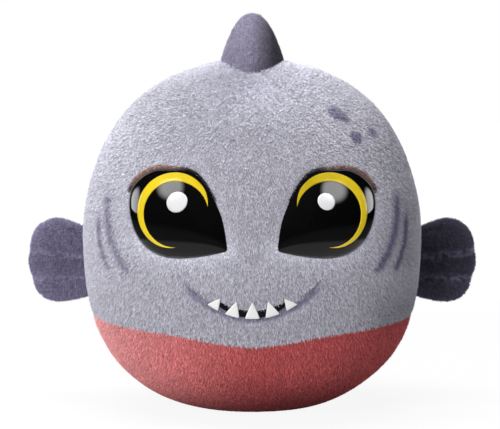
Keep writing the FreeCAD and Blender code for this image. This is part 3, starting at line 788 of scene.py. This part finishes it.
def makeBall():
    angles, rows, zones = ballRows()
    count, around, ways = len(angles), np.tile(angles, len(rows)), rows.ravel()
    radius, height, tilt = (np.interp(ways, outWay, table) for table in (outRadius, outHeight, outTilt))
    out = beside(np.sin(around), -np.cos(around))
    points = beside(out * radius[:, None], height)
    points = softForm(points, beside(out * np.cos(tilt)[:, None], np.sin(tilt)))
    work = bmesh.new()
    zoneLayer = work.faces.layers.int.new("zone")
    verts = [work.verts.new(p) for p in points]
    for number, corners in enumerate(gridFaces(len(rows), count)):
        work.faces.new([verts[corner] for corner in corners])[zoneLayer] = zones[number // count]
    bmesh.ops.remove_doubles(work, verts=work.verts, dist=0.01 * mm)
    every = work.verts[:] + work.edges[:] + work.faces[:]
    seam = (0, ball["seamY"], 0)
    bmesh.ops.bisect_plane(work, geom=every, dist=1e-7, plane_co=seam, plane_no=(0, 1, 0))
    bmesh.ops.recalc_face_normals(work, faces=work.faces)
    return work, zoneLayer


def panelOf(face, zone):
    middle = face.calc_center_median()
    front = middle.y < ball["seamY"]
    if zone == 2:
        return "facePanel" if front else "backLeft" if middle.x < 0 else "backRight"
    return "baseDisc" if zone == 0 else "bellyFront" if front else "bellyBack"


def splitPanels(work, zoneLayer):
    groups = {}
    for face in work.faces:
        groups.setdefault(panelOf(face, face[zoneLayer]), []).append(face)
    panels = {}
    for name, faces in groups.items():
        order, points, loops = {}, [], []
        for face in faces:
            for vert in face.verts:
                if vert.index not in order:
                    order[vert.index] = len(points)
                    points.append(vert.co)
            loops.append([order[vert.index] for vert in face.verts])
        panels[name] = newPiece(name, points, loops, join=False)
    return panels


# ---- eyes ----

eye = {
    "turn": 26.0,
    "height": 119.0 * mm,
    "rise": 10.4 * mm,
    "wall": 3.0 * mm,
    "outline": [
        (31.6, 3.0, 1.0), (31.0, 15.4, 4.2), (3.0, 25.0, 3.0),
        (-16.0, 17.4, 3.7), (-30.6, -18.8, 1.0), (-3.0, -24.2, 8.8),
    ],
    "tuck": 0.96,  # how far the wall draws in under the fabric
    "inlay": (0.06 * mm, -0.5 * mm),  # an inlay's top and underside, from the dome
    "ring": {
        "centre": (-0.3, 2.3), "radius": 21.0, "thickness": 6.3, "first": -102.0, "last": 173.0,
        "skew": 1.12,  # above 1 its widest place moves towards its last end
    },
    # Painted light and shade on each ring: all round, towards its top and towards its outer side; the tops
    # are shaded darker as under the fringe, the right ring's outer side lit lighter.
    "ringPaintedLight": {"left": (0.04, -0.26, 0.04), "right": (-0.03, -0.36, 0.38)},
    # Painted shade: each white dot is dimmed, the left one, which the light falls on most, by more.
    "dotPaintedShade": {"left": -0.15, "right": -0.08},
    "matt": {"near": (10.5, 6.5), "along": (8.0, 16.0)},
    "dots": {
        "left": {"centre": (-5.3, 6.4), "radius": 5.8},
        "right": {"centre": (-6.1, 6.7), "radius": 4.8},
    },
}


eyeLoop = evened(arcLoop(eye["outline"]), 176) * mm
eyeForm = Membrane(eyeLoop, 0.6 * mm, rounds=3500, power=0.52)


def eyeFrame(side):
    radius, tilt = wallAt(eye["height"])
    turn = Matrix.Rotation(radians(side * eye["turn"]), 4, "Z")
    lean, upright = Matrix.Rotation(-tilt, 4, "X"), Matrix.Rotation(pi / 2, 4, "X")
    place = turn @ Vector((0, -radius, eye["height"]))
    return Matrix.Translation(place) @ turn @ lean @ upright


def eyeHeight(matrix, side, points):
    # Height of the dome over the eye's frame, for points in the frame.
    return ballUnder(matrix, points) + eye["rise"] * eyeForm.at(points * (side, 1))


def makeDome(name, matrix, side):
    loop, middle = eyeLoop * (side, 1), np.array([0.0, -1.0 * mm])
    flat, faces = fanDisc(loop, middle, 34, walls=1)
    # The wall goes down into the fabric and closes under the dome.
    under = loop * eye["tuck"]
    low = ballUnder(matrix, under) - eye["wall"]
    local = [beside(flat, eyeHeight(matrix, side, flat))]
    local += [beside(under, low), [[0, 0, low.mean()]]]
    count, last = len(loop), len(flat)
    faces += [face[::-1] for face in fan(last + count, last, count)]
    return newPiece(name, toWorld(matrix, np.vstack(local)), faces)


def makeInlay(name, matrix, side, rows, closed=False):
    # A thin inlay that follows the dome, from rows of points across it.
    flat = np.concatenate(rows) * (side, 1)
    height = eyeHeight(matrix, side, flat)
    skins = [toWorld(matrix, beside(flat, height + lift)) for lift in eye["inlay"]]
    return slabPiece(name, skins, len(rows), closed)


def crescentRows():
    # From the crescent's inner edge to its outer one.
    ring = eye["ring"]
    share = np.linspace(0, 1, 120)
    turn = np.radians(ring["first"] + (ring["last"] - ring["first"]) * share)
    thick = ring["thickness"] * np.sin(pi * share ** ring["skew"])
    way = beside(np.cos(turn), np.sin(turn))
    reaches = [ring["radius"] - thick * part for part in np.linspace(1, 0, 7)]
    return [(np.array(ring["centre"]) + way * reach[:, None]) * mm for reach in reaches]


def dotRows(centre, radius):
    turn = np.linspace(0, 2 * pi, 64, endpoint=False)
    ring = beside(np.cos(turn), np.sin(turn))
    return [(np.array(centre) + ring * radius * share) * mm for share in np.linspace(0.001, 1, 8)]


fringe = {
    "angles": (20.0, 160.0),
    "rows": (-0.225, 0.45, 0.975, 1.5),  # millimetres past the eye's edge
    "skins": (0.5 * mm, -0.6 * mm),  # its top and underside, from the ball
    "lean": 0.9,  # how much its pile points away from the nose
    "wide": ([20, 28, 40, 70, 95, 135, 160], [0.2, 0.6, 1.5, 1.2, 0.6, 0.5, 0.15]),  # by angle
    # By millimetres from the eye's middle, outwards: how dark it is and how long.
    "dark": ([-6, 4, 29, 33], [1, 0, 0, 1]),
    "long": ([-22, -8, 2, 24, 33], [0.55, 0.7, 0.7, 1.0, 1.9]),
    "pile": {"Density": 12e6, "Length": 1.5 * mm, "Width": 0.16 * mm, "Comb": 0.9, "Seed": 60},
}


def makeFringe(name, matrix, side):
    # A strip of longer pile along the top of the eye: rust outside, dark towards the nose.
    angle = np.degrees(np.arctan2(eyeLoop[:, 1], eyeLoop[:, 0]))
    order = np.argsort(angle)
    first, last = fringe["angles"]
    order = order[(angle[order] > first) & (angle[order] < last)]
    edge = (eyeLoop * (side, 1))[order]
    out = unit(edge) * np.interp(angle[order], *fringe["wide"])[:, None]
    flat = np.concatenate([edge + out * (row * mm) for row in fringe["rows"]])
    height = ballUnder(matrix, flat)
    skins = [toWorld(matrix, beside(flat, height + lift)) for lift in fringe["skins"]]
    strip = slabPiece(name + "EyeLash", skins, len(fringe["rows"]))
    back = toWorld(matrix.inverted(), placesOf(strip.data))
    outwards = unit(back * (1, 1, 0)) + (side * fringe["lean"], 0, 0)
    upper = back[:, 2] > ballUnder(matrix, back[:, :2])
    across = side * back[:, 0] / mm
    store(
        strip,
        comb=turned(matrix, outwards),
        second=np.interp(across, *fringe["dark"]),
        pileShare=upper.astype(float),
        pileLength=np.interp(across, *fringe["long"]),
    )
    pile = growPile(name + "EyeLashPile", strip, rustPile, **fringe["pile"])
    onBall(strip, "rust_pile", name + "_eye_lash", skinFinish["rust"])
    onBall(pile, "rust_pile")


def makeEye(name, side):
    matrix = eyeFrame(side)
    dome = makeDome(name + "EyeDome", matrix, side)
    ring = makeInlay(name + "EyeRing", matrix, side, crescentRows())
    dot = makeInlay(name + "EyeDot", matrix, side, dotRows(**eye["dots"][name]), True)
    way = (flatPlaces(ring, matrix, side) / mm - eye["ring"]["centre"]) / eye["ring"]["radius"]
    even, upper, outer = eye["ringPaintedLight"][name]
    store(ring, tone=even + upper * way[:, 1] + outer * way[:, 0])
    store(dot, tone=np.full(len(dot.data.vertices), eye["dotPaintedShade"][name]))
    # Both are matt along the edge that runs from the inner corner to the top.
    inner, top = (np.array(eye["outline"][number][:2]) for number in (4, 3))
    along = (top - inner) / np.linalg.norm(top - inner)
    for piece in (dome, ring):
        local = flatPlaces(piece, matrix, side) / mm - inner
        near = ramp(local @ (along[1], -along[0]), *eye["matt"]["near"])
        store(piece, dull=near * ramp(local @ along, *eye["matt"]["along"]))
    dome.visible_shadow = False  # under wide soft light the low dome leaves no shadow on the cheek
    onBall(dome, "black_eye", name + "_eye_dome", eyeBlack)
    onBall(ring, "yellow_ring", name + "_eye_iris", eyeYellow)
    onBall(dot, "white_dot", name + "_eye_dot", eyeWhite)
    makeFringe(name, matrix, side)
    return matrix


# ---- mouth ----

teeth = [
    [(-24.4, 70.4), (-17.3, 73.8), (-18.6, 67.0)],
    [(-14.9, 65.3), (-8.5, 72.3), (-7.1, 63.1)],
    [(-4.1, 62.8), (0.0, 72.0), (4.1, 62.8)],
    [(14.9, 65.3), (8.5, 72.3), (7.1, 63.1)],
    [(24.4, 70.4), (17.3, 73.8), (18.6, 67.0)],
]
tooth = {"thickness": 1.3 * mm, "lift": 1.3 * mm, "rough": 0.08 * mm}
mouth = {
    "low": 65.0, "bend": 0.0165, "reach": 18.6, "half": 1.9,
    "ends": 0.35,  # how wide its ends are against its middle
    "thickness": 1.6 * mm,
    "ripple": 0.25 * mm,
}


def makeTooth(number, corners):
    # A felt triangle with slightly rounded corners and a soft edge.
    loop = evened(arcLoop([(x, z, 0.15) for x, z in corners]), 60) * mm
    flat = np.concatenate(fanGrid(loop, loop.mean(0), 8))
    away = np.repeat(np.sin(np.linspace(0, pi / 2, 9)), 60)
    half = np.sqrt(np.maximum(1 - away**6, 0)) * tooth["thickness"] / 2
    top = frontPoints(flat, tooth["lift"] + half + unevenness(flat, 900, 0) * tooth["rough"])
    piece = slabPiece("tooth%d" % number, [top, frontPoints(flat, tooth["lift"] - half)], 9, True)
    onBall(piece, "white_felt", "tooth_%d" % number, toothFelt)


def makeLining():
    # The black satin band behind the teeth, sunk a little into the face.
    xs = np.linspace(-mouth["reach"], mouth["reach"], 90)
    taper = np.sqrt(np.clip(1 - (np.abs(xs) / mouth["reach"]) ** 4, 0, 1))
    half = mouth["half"] * (mouth["ends"] + (1 - mouth["ends"]) * taper)
    middle = mouth["low"] + mouth["bend"] * xs**2
    flat = np.concatenate([beside(xs, middle + share * half) for share in np.linspace(-1, 1, 9)]) * mm
    ripple = unevenness(flat, 260, 0) * mouth["ripple"]
    skins = [frontPoints(flat, mouth["thickness"] / 2 + ripple), frontPoints(flat, -mouth["thickness"] / 2)]
    onBall(slabPiece("mouthLining", skins, 9), "black_satin", "mouth_lining", satin)


# ---- fins ----

sideFin = {
    "sweep": 14.0,
    "half": 5.6 * mm,
    # Painted light on the left fin and a painted shadow of the ball on the right one.
    "shade": {"left": 0.08, "right": -0.69},
    "outline": [
        (-6.0, -16.0, 0.0), (-6.0, 12.6, 0.8), (21.6, 23.2, 5.8),
        (37.9, 4.6, 1.9), (36.4, -10.2, 5.2), (20.6, -24.0, 1.4),
    ],
    "centre": (15.0, -1.0),
    "creases": [((7.0, 2.6), (39.0, 5.0)), ((6.0, -10.4), (38.0, -11.4))],
}
tailFin = {
    "half": 5.4 * mm,
    "outline": [
        (-6.0, -11.5, 0.0), (-6.0, 11.5, -1.2), (25.5, 23.6, 3.0), (34.6, 16.4, 1.4),
        (27.6, 0.0, 1.4), (34.6, -16.4, 3.0), (25.5, -23.6, -1.2),
    ],
    "centre": (14.0, 0.0),
    "creases": [((8.0, 5.0), (31.0, 12.0)), ((8.0, -5.0), (31.0, -12.0))],
}
dorsal = {
    "rise": 26.5 * mm,
    "rootDepth": 14.5 * mm,
    "halfWidth": 21.0 * mm,
    "frontY": -41.0 * mm,
    "backY": 42.0 * mm,
    "tipY": 15.0 * mm,
    "tipHalf": 3.0 * mm,
    "curve": 1.6,
    "sideCurve": 0.46,
    "comb": (0.25, 0.3, 0.9),  # outwards, backwards and up
    "ridge": 6.0 * mm,  # how wide the strip is where it turns from left to right
    "bare": 2.5 * mm,  # no pile deeper inside the ball
    "light": 0.1,
    # Painted shade on the right side and painted light near the tip.
    "shade": (0.92, -1.0 * mm, 12.0 * mm),  # how much, and from where to where it grows
    "crest": (0.1, 10.0 * mm, 2.0 * mm),  # the same, down from the tip
}


crease = {"half": 2.2 * mm, "deep": 0.22, "deeper": 0.12}  # deeper towards the line's second end
flatFin = {
    "grown": 1.3,  # millimetres past its outline
    "swell": 0.5 * mm,
    "bare": 1.5 * mm,  # no pile deeper inside the ball
    "combedOut": 14 * mm,  # this far from its middle the pile points outwards as much as down
    "rimShorter": 0.25,
    # Painted light: the rim lighter, as sheen where the light grazes it.
    "rimLight": 0.5,
    "creaseLight": (1.7, 4.0),  # evenly and in patches
    # Painted light on the lower part.
    "lowLight": (0.18, 18 * mm),  # how much, and how far down it is full
}


def creaseDepth(points, creases):
    # 1 away from the stitched lines, less on them.
    depth = np.ones(len(points))
    for start, end in creases:
        a, b = np.array(start) * mm, np.array(end) * mm
        share = np.clip((points - a) @ (b - a) / ((b - a) @ (b - a)), 0, 1)
        away = np.linalg.norm(points - a - share[:, None] * (b - a), axis=1)
        depth *= 1 - (crease["deep"] + crease["deeper"] * share) * hill(away, 0, crease["half"])
    return depth


def makeFlatFin(name, fin, root, heading, side, shade=0.0):
    # Two pillowed faces that meet at the rim; x runs along the fin, y is up.
    loop = grown(evened(arcLoop(fin["outline"]), 180, 12), flatFin["grown"]) * mm
    form = Membrane(loop, 0.7 * mm)
    centre = np.array(fin["centre"]) * mm
    flat, faces = fanDisc(loop, centre, 30)
    swell = unevenness(flat, 90, side * 0.1) * flatFin["swell"]
    thick = (fin["half"] + swell) * form.at(flat) * creaseDepth(flat, fin["creases"])
    turn = Matrix.Rotation(radians(heading), 4, "Z")
    matrix = Matrix.Translation(root) @ turn @ Matrix.Rotation(pi / 2, 4, "X")
    skins = [toWorld(matrix, beside(flat * (side, 1), thick * sign)) for sign in (1, -1)]
    piece = newPiece(name, np.vstack(skins), doubled(faces, len(flat)))
    points = placesOf(piece.data)
    local = flatPlaces(piece, matrix, side)
    fromMiddle = beside((local - centre) * (side, 1), np.zeros(len(local)))
    fromMiddle = turned(matrix, fromMiddle) / flatFin["combedOut"]
    rim = 1 - form.at(local)
    comb = np.array([0, 0, -1.0]) * (1 - rim)[:, None] + rim[:, None] * fromMiddle
    even, patchy = flatFin["creaseLight"]
    ruffle = (1 - creaseDepth(local, fin["creases"])) * (even + patchy * unevenness(points, 420))
    # The rim and the lower part get painted light; shade adds painted light to the left fin and a painted
    # shadow to the right one.
    light, reach = flatFin["lowLight"]
    store(
        piece,
        comb=alongSkin(piece, comb),
        pileShare=np.where(inBall(points) > flatFin["bare"], 0.0, 1.0),
        pileLength=1 - flatFin["rimShorter"] * rim,
        tone=ruffle + flatFin["rimLight"] * rim**2 + shade + light * ramp(local[:, 1], 0, -reach),
    )
    return piece


def makeDorsal():
    # Level sections, long and narrow, that shrink towards a swept-back tip.
    low, high = ball["height"] - dorsal["rootDepth"], ball["height"] + dorsal["rise"]
    tipY, curve = dorsal["tipY"], dorsal["curve"]
    rows, count = 44, 120
    turn = np.linspace(0, 2 * pi, count, endpoint=False)
    points = []
    for level in np.minimum(np.sin(np.linspace(0, pi / 2, rows)), 0.9995):
        left = 1 - level
        front = tipY - dorsal["tipHalf"] * left**0.5 + (dorsal["frontY"] - tipY) * (1 - level**curve)
        back = tipY + dorsal["tipHalf"] * left**0.5 + (dorsal["backY"] - tipY) * left**curve
        half = dorsal["halfWidth"] * left ** dorsal["sideCurve"]
        xs = half * np.sign(np.sin(turn)) * np.abs(np.sin(turn)) ** 1.1
        ys = (front + back) / 2 - (back - front) / 2 * np.cos(turn)
        points.append(beside(xs, ys, np.full(count, low + (high - low) * level)))
    points += [[[0, tipY, high]], [[0, 0, low]]]
    tip, last = rows * count, (rows - 1) * count
    faces = gridFaces(rows, count)
    faces += [(a, b, middle) for middle, a, b in fan(tip, last, count)]
    faces += [(b, a, middle) for middle, a, b in fan(tip + 1, 0, count)]
    piece = newPiece("dorsalFin", np.concatenate(points), faces)
    places = placesOf(piece.data)
    x, _, z = places.T
    lean, along, up = dorsal["comb"]
    flat = np.ones(len(places))
    comb = beside(np.tanh(x / dorsal["ridge"]) * lean, flat * along, flat * up)
    # Painted shade on the right side, lessened near the tip, where painted light is added.
    dark, start, end = dorsal["shade"]
    shade = dark * ramp(x, start, end)
    pale, start, end = dorsal["crest"]
    crest = pale * ramp(z, high - start, high - end)
    store(
        piece,
        comb=alongSkin(piece, comb),
        pileShare=np.where(inBall(places) > dorsal["bare"], 0.0, 1.0),
        pileLength=flat,
        tone=dorsal["light"] + crest - shade * (1 - crest),
    )
    return piece


# ---- making ----

print("materials")
eyeBlack = glossMaterial("eyeBlack", (0.002, 0.002, 0.0022), matted=True)
eyeYellow = glossMaterial("eyeYellow", (0.57, 0.425, 0.016), 0.08, 0.25, matted=True)
eyeWhite = glossMaterial("eyeWhite", (0.62, 0.62, 0.63), 0.08)
washerPlastic = glossMaterial("washerPlastic", (0.70, 0.70, 0.68), 0.4)
toothFelt = feltMaterial("toothFelt", (0.695, 0.69, 0.68))
satin = satinMaterial("blackSatin", (0.005, 0.005, 0.006))
greyMarked = pileMaterial("greyPileMarked", "grey", marked=True)
greyPile = pileMaterial("greyPile", "grey")
redPile = pileMaterial("redPile", "red", second="redPaintedSheen", look={"sheen": 0.1})
rustPile = pileMaterial("rustPile", "rust", second="lashDark")
finLook = {"cloud": 0.3, "chance": 0.6, "root": 0.35, "sheen": 0.3}
finPiles = {tint: pileMaterial(tint + "Pile", tint, look=finLook) for tint in ("purple", "dorsal")}
skinFinish = {
    "greyMarked": pileMaterial("greySkinMarked", "grey", marked=True, onSkin=True),
    "grey": pileMaterial("greySkin", "grey", onSkin=True),
    "red": pileMaterial("redSkin", "red", onSkin=True, second="redPaintedSheen"),
    "purple": pileMaterial("purpleSkin", "purple", onSkin=True, look=finLook),
    "dorsal": pileMaterial("dorsalSkin", "dorsal", onSkin=True, look=finLook),
    "rust": pileMaterial("rustSkin", "rust", onSkin=True, second="lashDark"),
}

print("eyes")
eyeMatrices = {name: makeEye(name, side) for name, side in bothSides}

print("ball")
panels = splitPanels(*makeBall())
# The node it stands for, its skin, its pile, its slot and millions of fibres per square metre.
panelSetup = {
    "facePanel": ("face_panel", "greyMarked", greyMarked, "grey_plush", 3.0),
    "backLeft": ("back_panel_left", "grey", greyPile, "grey_plush", 1.6),
    "backRight": ("back_panel_right", "grey", greyPile, "grey_plush", 1.6),
    "bellyFront": ("belly_front_panel", "red", redPile, "red_plush", 2.3),
    "bellyBack": ("belly_back_panel", "red", redPile, "red_plush", 1.4),
    "baseDisc": ("base_disc", "red", redPile, "red_plush", 0.8),
}


def nearEyes(points):
    # How far points lie outside the eyes' outlines, and the way away from them.
    away, way = np.full(len(points), 1.0), np.zeros((len(points), 3))
    for name, side in bothSides:
        matrix = eyeMatrices[name]
        local = toWorld(matrix.inverted(), points)
        loop = eyeLoop * (side, 1)
        distance = np.linalg.norm(local[:, None, :2] - loop[None], axis=2).min(1)
        distance = np.where(insideLoop(loop, local[:, 0], local[:, 1]), -distance, distance)
        distance[np.abs(local[:, 2]) > 25 * mm] = 1.0
        out = unit(points - toWorld(matrix, np.array([[0, 0, -20 * mm]]))[0])
        closer = distance < away
        away, way = np.where(closer, distance, away), np.where(closer[:, None], out, way)
    return away, way


def quarter(skin, wanted):
    # The faces of a skin whose middles lie in one quarter of it.
    mesh = skin.data.copy()
    work = bmesh.new()
    work.from_mesh(mesh)

    def quarterOf(place):
        return ("Low" if place.z < 118 * mm else "High") + ("Left" if place.x < 0 else "Right")

    away = [face for face in work.faces if quarterOf(face.calc_center_median()) != wanted]
    bmesh.ops.delete(work, geom=away, context="FACES")
    work.to_mesh(mesh)
    work.free()
    return linked("source", mesh)


def toneOf(x, z, tint):
    # Painted light and shade: the crown lighter in its middle and darker on its left; the lower and upper
    # right and the right gills darker; the red lighter on the left, darker on the right and towards the
    # floor.
    if tint == "red":
        sides = 0.26 * ramp(x, 0, -50) - 0.08 * ramp(x, 0, 90) ** 2
        return sides - 0.3 * ramp(z, 32, 0) * hill(x, 12, 52)
    crown = (0.4 * hill(x, 0, 38) - 0.18 * ramp(x, 0, -55)) * ramp(z, 162, 184)
    side = 0.26 * ramp(x, 55, 75) * ramp(z, 82, 62) + 0.14 * ramp(x, 60, 80) * ramp(z, 132, 144)
    paintedGillShade = 0.2 * hill(x, 88, 6.5) * ramp(z, 76, 91) * ramp(z, 138, 123)
    return crown - side - paintedGillShade


laid = {
    "bare": 0.3 * mm,  # no pile deeper inside an eye's edge
    "byEye": {"reach": 3 * mm, "shorter": 0.45},  # there it points away from the eye
    "atFloor": (0.25, 32),  # share of its length, and the height where it is whole
    # Painted light along the eyes' lower rims and the right eye's outer rim, and a little all round the
    # eyes, fading away from them.
    "rim": {"light": 0.4, "least": 0.2, "reach": 6 * mm, "low": (112, 102), "outer": (60, 68)},
    # Painted sheen: how far the red pile is mixed towards pale pink, a little everywhere and growing
    # towards the left.
    "pale": {"least": 0.07, "more": 0.5, "across": (5, -90), "power": 1.3},
}


def layPile(panel, tint):
    # The fields of a panel: where its pile points, how long it is, its painted light and shade, and its
    # painted sheen.
    places = placesOf(panel.data)
    x, _, z = (places / mm).T
    eyeGap, fromEye = nearEyes(places)
    outside = np.maximum(eyeGap, 0)
    byEye = np.exp(-outside / laid["byEye"]["reach"])
    comb = np.array([0, 0, -1.0]) * (1 - byEye)[:, None] + fromEye * byEye[:, None]
    shorter, (floor, whole) = laid["byEye"]["shorter"], laid["atFloor"]
    rim, pale = laid["rim"], laid["pale"]
    lit = np.maximum(ramp(z, *rim["low"]), ramp(x, *rim["outer"]))
    lit = np.maximum(lit, rim["least"]) * np.exp(-outside / rim["reach"])
    store(
        panel,
        comb=alongSkin(panel, comb),
        pileShare=np.where(eyeGap < -laid["bare"], 0.0, 1.0),
        pileLength=(1 - shorter * byEye) * (floor + (1 - floor) * ramp(z, 0, whole)),
        tone=toneOf(x, z, tint) + rim["light"] * lit,
        second=pale["least"] + pale["more"] * ramp(x, *pale["across"]) ** pale["power"],
    )


for seed, (name, (node, tint, material, slot, density)) in enumerate(panelSetup.items(), start=20):
    panel = panels[name]
    layPile(panel, tint)
    settings = {"Density": density * 1e6, "Seed": seed}
    if name == "facePanel":
        settings |= {"Bare_" + key: mouth[key] for key in ("low", "bend", "reach")}
        settings["Bare_half"] = mouth["half"] + 0.2
        piles = []
        for part in ("LowLeft", "LowRight", "HighLeft", "HighRight"):
            source = quarter(panel, part)
            piles.append(growPile("facePile" + part, source, material, **settings))
            bpy.data.objects.remove(source)
    else:
        piles = [growPile(name + "Pile", panel, material, **settings)]
    solid = panel.modifiers.new("thickness", "SOLIDIFY")
    solid.thickness, solid.offset = sewing["wall"], -1
    applyModifiers(panel)
    onBall(panel, slot, node, skinFinish[tint])
    for pile in piles:
        onBall(pile, slot)

print("mouth")
makeLining()
for number, corners in enumerate(teeth, start=1):
    makeTooth(number, corners)

print("fins")


finPile = {"Length": 1.9 * mm, "Spread": 0.55}


def dressFin(skin, body, covers, root, way, density, seed, tint="purple", bend=(5, 9)):
    # Its pile and finish, with the fin's nodes hidden and its pieces baked into place.
    settings = {"Density": density * 1e6, "Seed": seed, **finPile}
    pile = growPile(skin.name + "Pile", skin, finPiles[tint], **settings)
    wear(skin, skinFinish[tint])
    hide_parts(*("%s_%s" % (body, part) for part in (*covers, "filling")))
    start, end = root - way * bend[0] * mm, root + way * bend[1] * mm
    for piece in (skin, pile):
        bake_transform(piece)
        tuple(start)
        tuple(end)


for seed, (name, side) in enumerate(bothSides, start=40):
    root = finRoots[name + "_fin_flap"]
    heading = side * sideFin["sweep"]
    fin = makeFlatFin(name + "Fin", sideFin, root, heading, side, sideFin["shade"][name])
    outwards = Matrix.Rotation(radians(heading), 3, "Z") @ Vector((side, 0, 0))
    dressFin(fin, name + "_fin", ("front_cover", "back_cover"), root, outwards, 5.0, seed)

root, behind = finRoots["tail_fin_swing"], Vector((0, 1, 0))
tail = makeFlatFin("tailFin", tailFin, root, 90.0, 1)
dressFin(tail, "tail_fin", ("right_cover", "left_cover"), root, behind, 4.0, 43)

root, up = finRoots["dorsal_fin_tilt"], Vector((0, 0, 1))
covers = ("left_cover", "right_cover")
dressFin(makeDorsal(), "dorsal_fin", covers, root, up, 5.0, 44, "dorsal", bend=(12, 10))

print("inner pieces")
innerFinish = {
    "body_filling": (feltMaterial("filling", (0.86, 0.86, 0.85), 2.5 * mm), "polyester_filling"),
    "pellet_pouch": (feltMaterial("pouchCloth", (0.72, 0.70, 0.64), 1.0 * mm), "pouch_cloth"),
    "pellets": (feltMaterial("pelletMass", (0.66, 0.66, 0.64), 3.0 * mm), "pellets"),
    "left_eye_washer": (washerPlastic, "washer_plastic"),
    "right_eye_washer": (washerPlastic, "washer_plastic"),
}
for node, (material, slot) in innerFinish.items():
    wear(frame["nodes"][node], material)

# ---- floor, light and camera ----

print("stage")
studio = {
    "floor": {"size": 6.0, "below": 0.3 * mm, "tint": (0.42, 0.42, 0.43, 1), "seen": 1.06},
    # A faint share of the lit floor keeps the toy's shadow near it; farther off it is plain white.
    "shadow": {"share": 0.14, "near": 0.4, "far": 0.9},
    # The eyes mirror the lit floor close to the toy and hardly any of the rest.
    "floorMirrored": {"near": 0.32, "far": 0.07, "reach": 0.26},
    "backMirrored": {"from": 0.75, "to": 0.95, "glow": 0.9},
    # What else the eyes mirror: soft patches of light, by azimuth and height in degrees.
    "mirrored": [
        {"azimuth": -58.0, "height": 50.0, "reach": 24.0, "glow": 5.2},
        {"azimuth": 55.0, "height": 46.0, "reach": 24.0, "glow": 5.0},
        {"azimuth": -120.0, "height": 7.0, "reach": 17.0, "glow": 3.2},
        {"azimuth": 119.0, "height": 7.0, "reach": 17.0, "glow": 3.2},
    ],
}


def makeFloor():
    floor, shadow, mirrored = studio["floor"], studio["shadow"], studio["floorMirrored"]
    size = floor["size"]
    corners = [(-size, -size, 0), (size, -size, 0), (size, size, 0), (-size, size, 0)]
    piece = newPiece("floor", corners, [(0, 1, 2, 3)], False)
    piece.location.z = -floor["below"]
    nodes = emptyNodes(bpy.data.materials.new("paleFloor"))

    def glowing(strength):
        return nodes.add("ShaderNodeEmission", None, {"Color": (1, 1, 1, 1), "Strength": strength})

    away = nodes.vector("LENGTH", nodes.here(), None, 1)
    reach = mirrored["reach"]
    glow = mirrored["far"] * away.rise(1.2, 0.3) + mirrored["near"] * away.rise(reach * 1.12, reach * 0.9)
    path = nodes.outputs("ShaderNodeLightPath")
    lit = away.rise(shadow["near"], shadow["far"])
    seen = path["Is Camera Ray"] * (1 - shadow["share"] + shadow["share"] * lit)
    matt = nodes.add("ShaderNodeBsdfDiffuse", None, {"Color": floor["tint"]})
    matt = nodes.add("ShaderNodeMixShader", None, [path["Is Glossy Ray"], matt, glowing(glow)])
    wear(piece, nodes.finish(nodes.add("ShaderNodeMixShader", None, [seen, matt, glowing(floor["seen"])])))


def wayTo(azimuth, height):
    # Azimuth 0 is the camera's side, and grows towards +X.
    a, h = radians(azimuth), radians(height)
    return (sin(a) * cos(h), -cos(a) * cos(h), sin(h))


def makeWorld():
    nodes = emptyNodes(bpy.data.worlds.new("studio"))
    path = nodes.outputs("ShaderNodeLightPath")
    way = nodes.add("ShaderNodeTexCoord", None, None, 0)
    _, y, _ = nodes.parts(way)
    back = studio["backMirrored"]
    glow = y.rise(back["from"], back["to"]) * back["glow"]
    for patch in studio["mirrored"]:
        near = nodes.vector("DOT_PRODUCT", way, wayTo(patch["azimuth"], patch["height"]), 1)
        edge, core = (cos(radians(patch["reach"] * share)) for share in (1, 0.45))
        glow = glow.most(near.rise(edge, core) * patch["glow"])
    seen = path["Is Camera Ray"]
    level = seen + (1 - seen) * path["Is Glossy Ray"] * glow
    shader = nodes.add("ShaderNodeBackground", None, {"Color": (1, 1, 1, 1), "Strength": level})
    scene.world = nodes.finish(shader, "ShaderNodeOutputWorld")


lamps = {
    "above": {"place": (0.0, -0.1, 1.6), "size": 0.9, "power": 27.0},
    "leftAbove": {"place": (-0.7, 0.0, 1.4), "size": 0.8, "power": 15.0},
    "frontLeft": {"place": (-0.8, -1.5, 0.6), "size": 0.7, "power": 26.5},
    "right": {"place": (1.2, -0.8, 0.5), "size": 0.7, "power": 3.6},
}


def makeLamp(name, place, size, power):
    lamp = bpy.data.lights.new(name, "AREA")
    lamp.shape, lamp.size, lamp.energy = "SQUARE", size, power
    holder = linked(name, lamp)
    holder.location = place
    aim = Vector((0, 0, 0.1)) - Vector(place)
    holder.rotation_euler = aim.to_track_quat("-Z", "Y").to_euler()
    holder.visible_glossy = False  # the eyes mirror the studio's patches instead


view = {"lens": 158.45, "sensor": 36.0, "aim": (-1.3, 0.0, 113.1), "away": 1.3, "lift": 4.0}


def makeCamera():
    camera = bpy.data.cameras.new("camera")
    camera.lens, camera.sensor_width = view["lens"], view["sensor"]
    camera.clip_start, camera.clip_end = 0.05, 50.0
    holder = linked("camera", camera)
    lift = radians(view["lift"])
    back = Vector((0, -cos(lift), sin(lift)))
    holder.location = Vector(view["aim"]) * mm + view["away"] * back
    holder.rotation_euler = (pi / 2 - lift, 0, 0)
    scene.camera = holder


makeFloor()
makeWorld()
for name, lamp in lamps.items():
    makeLamp(name, **lamp)
makeCamera()
scene.view_settings.view_transform = "Standard"

print("done")
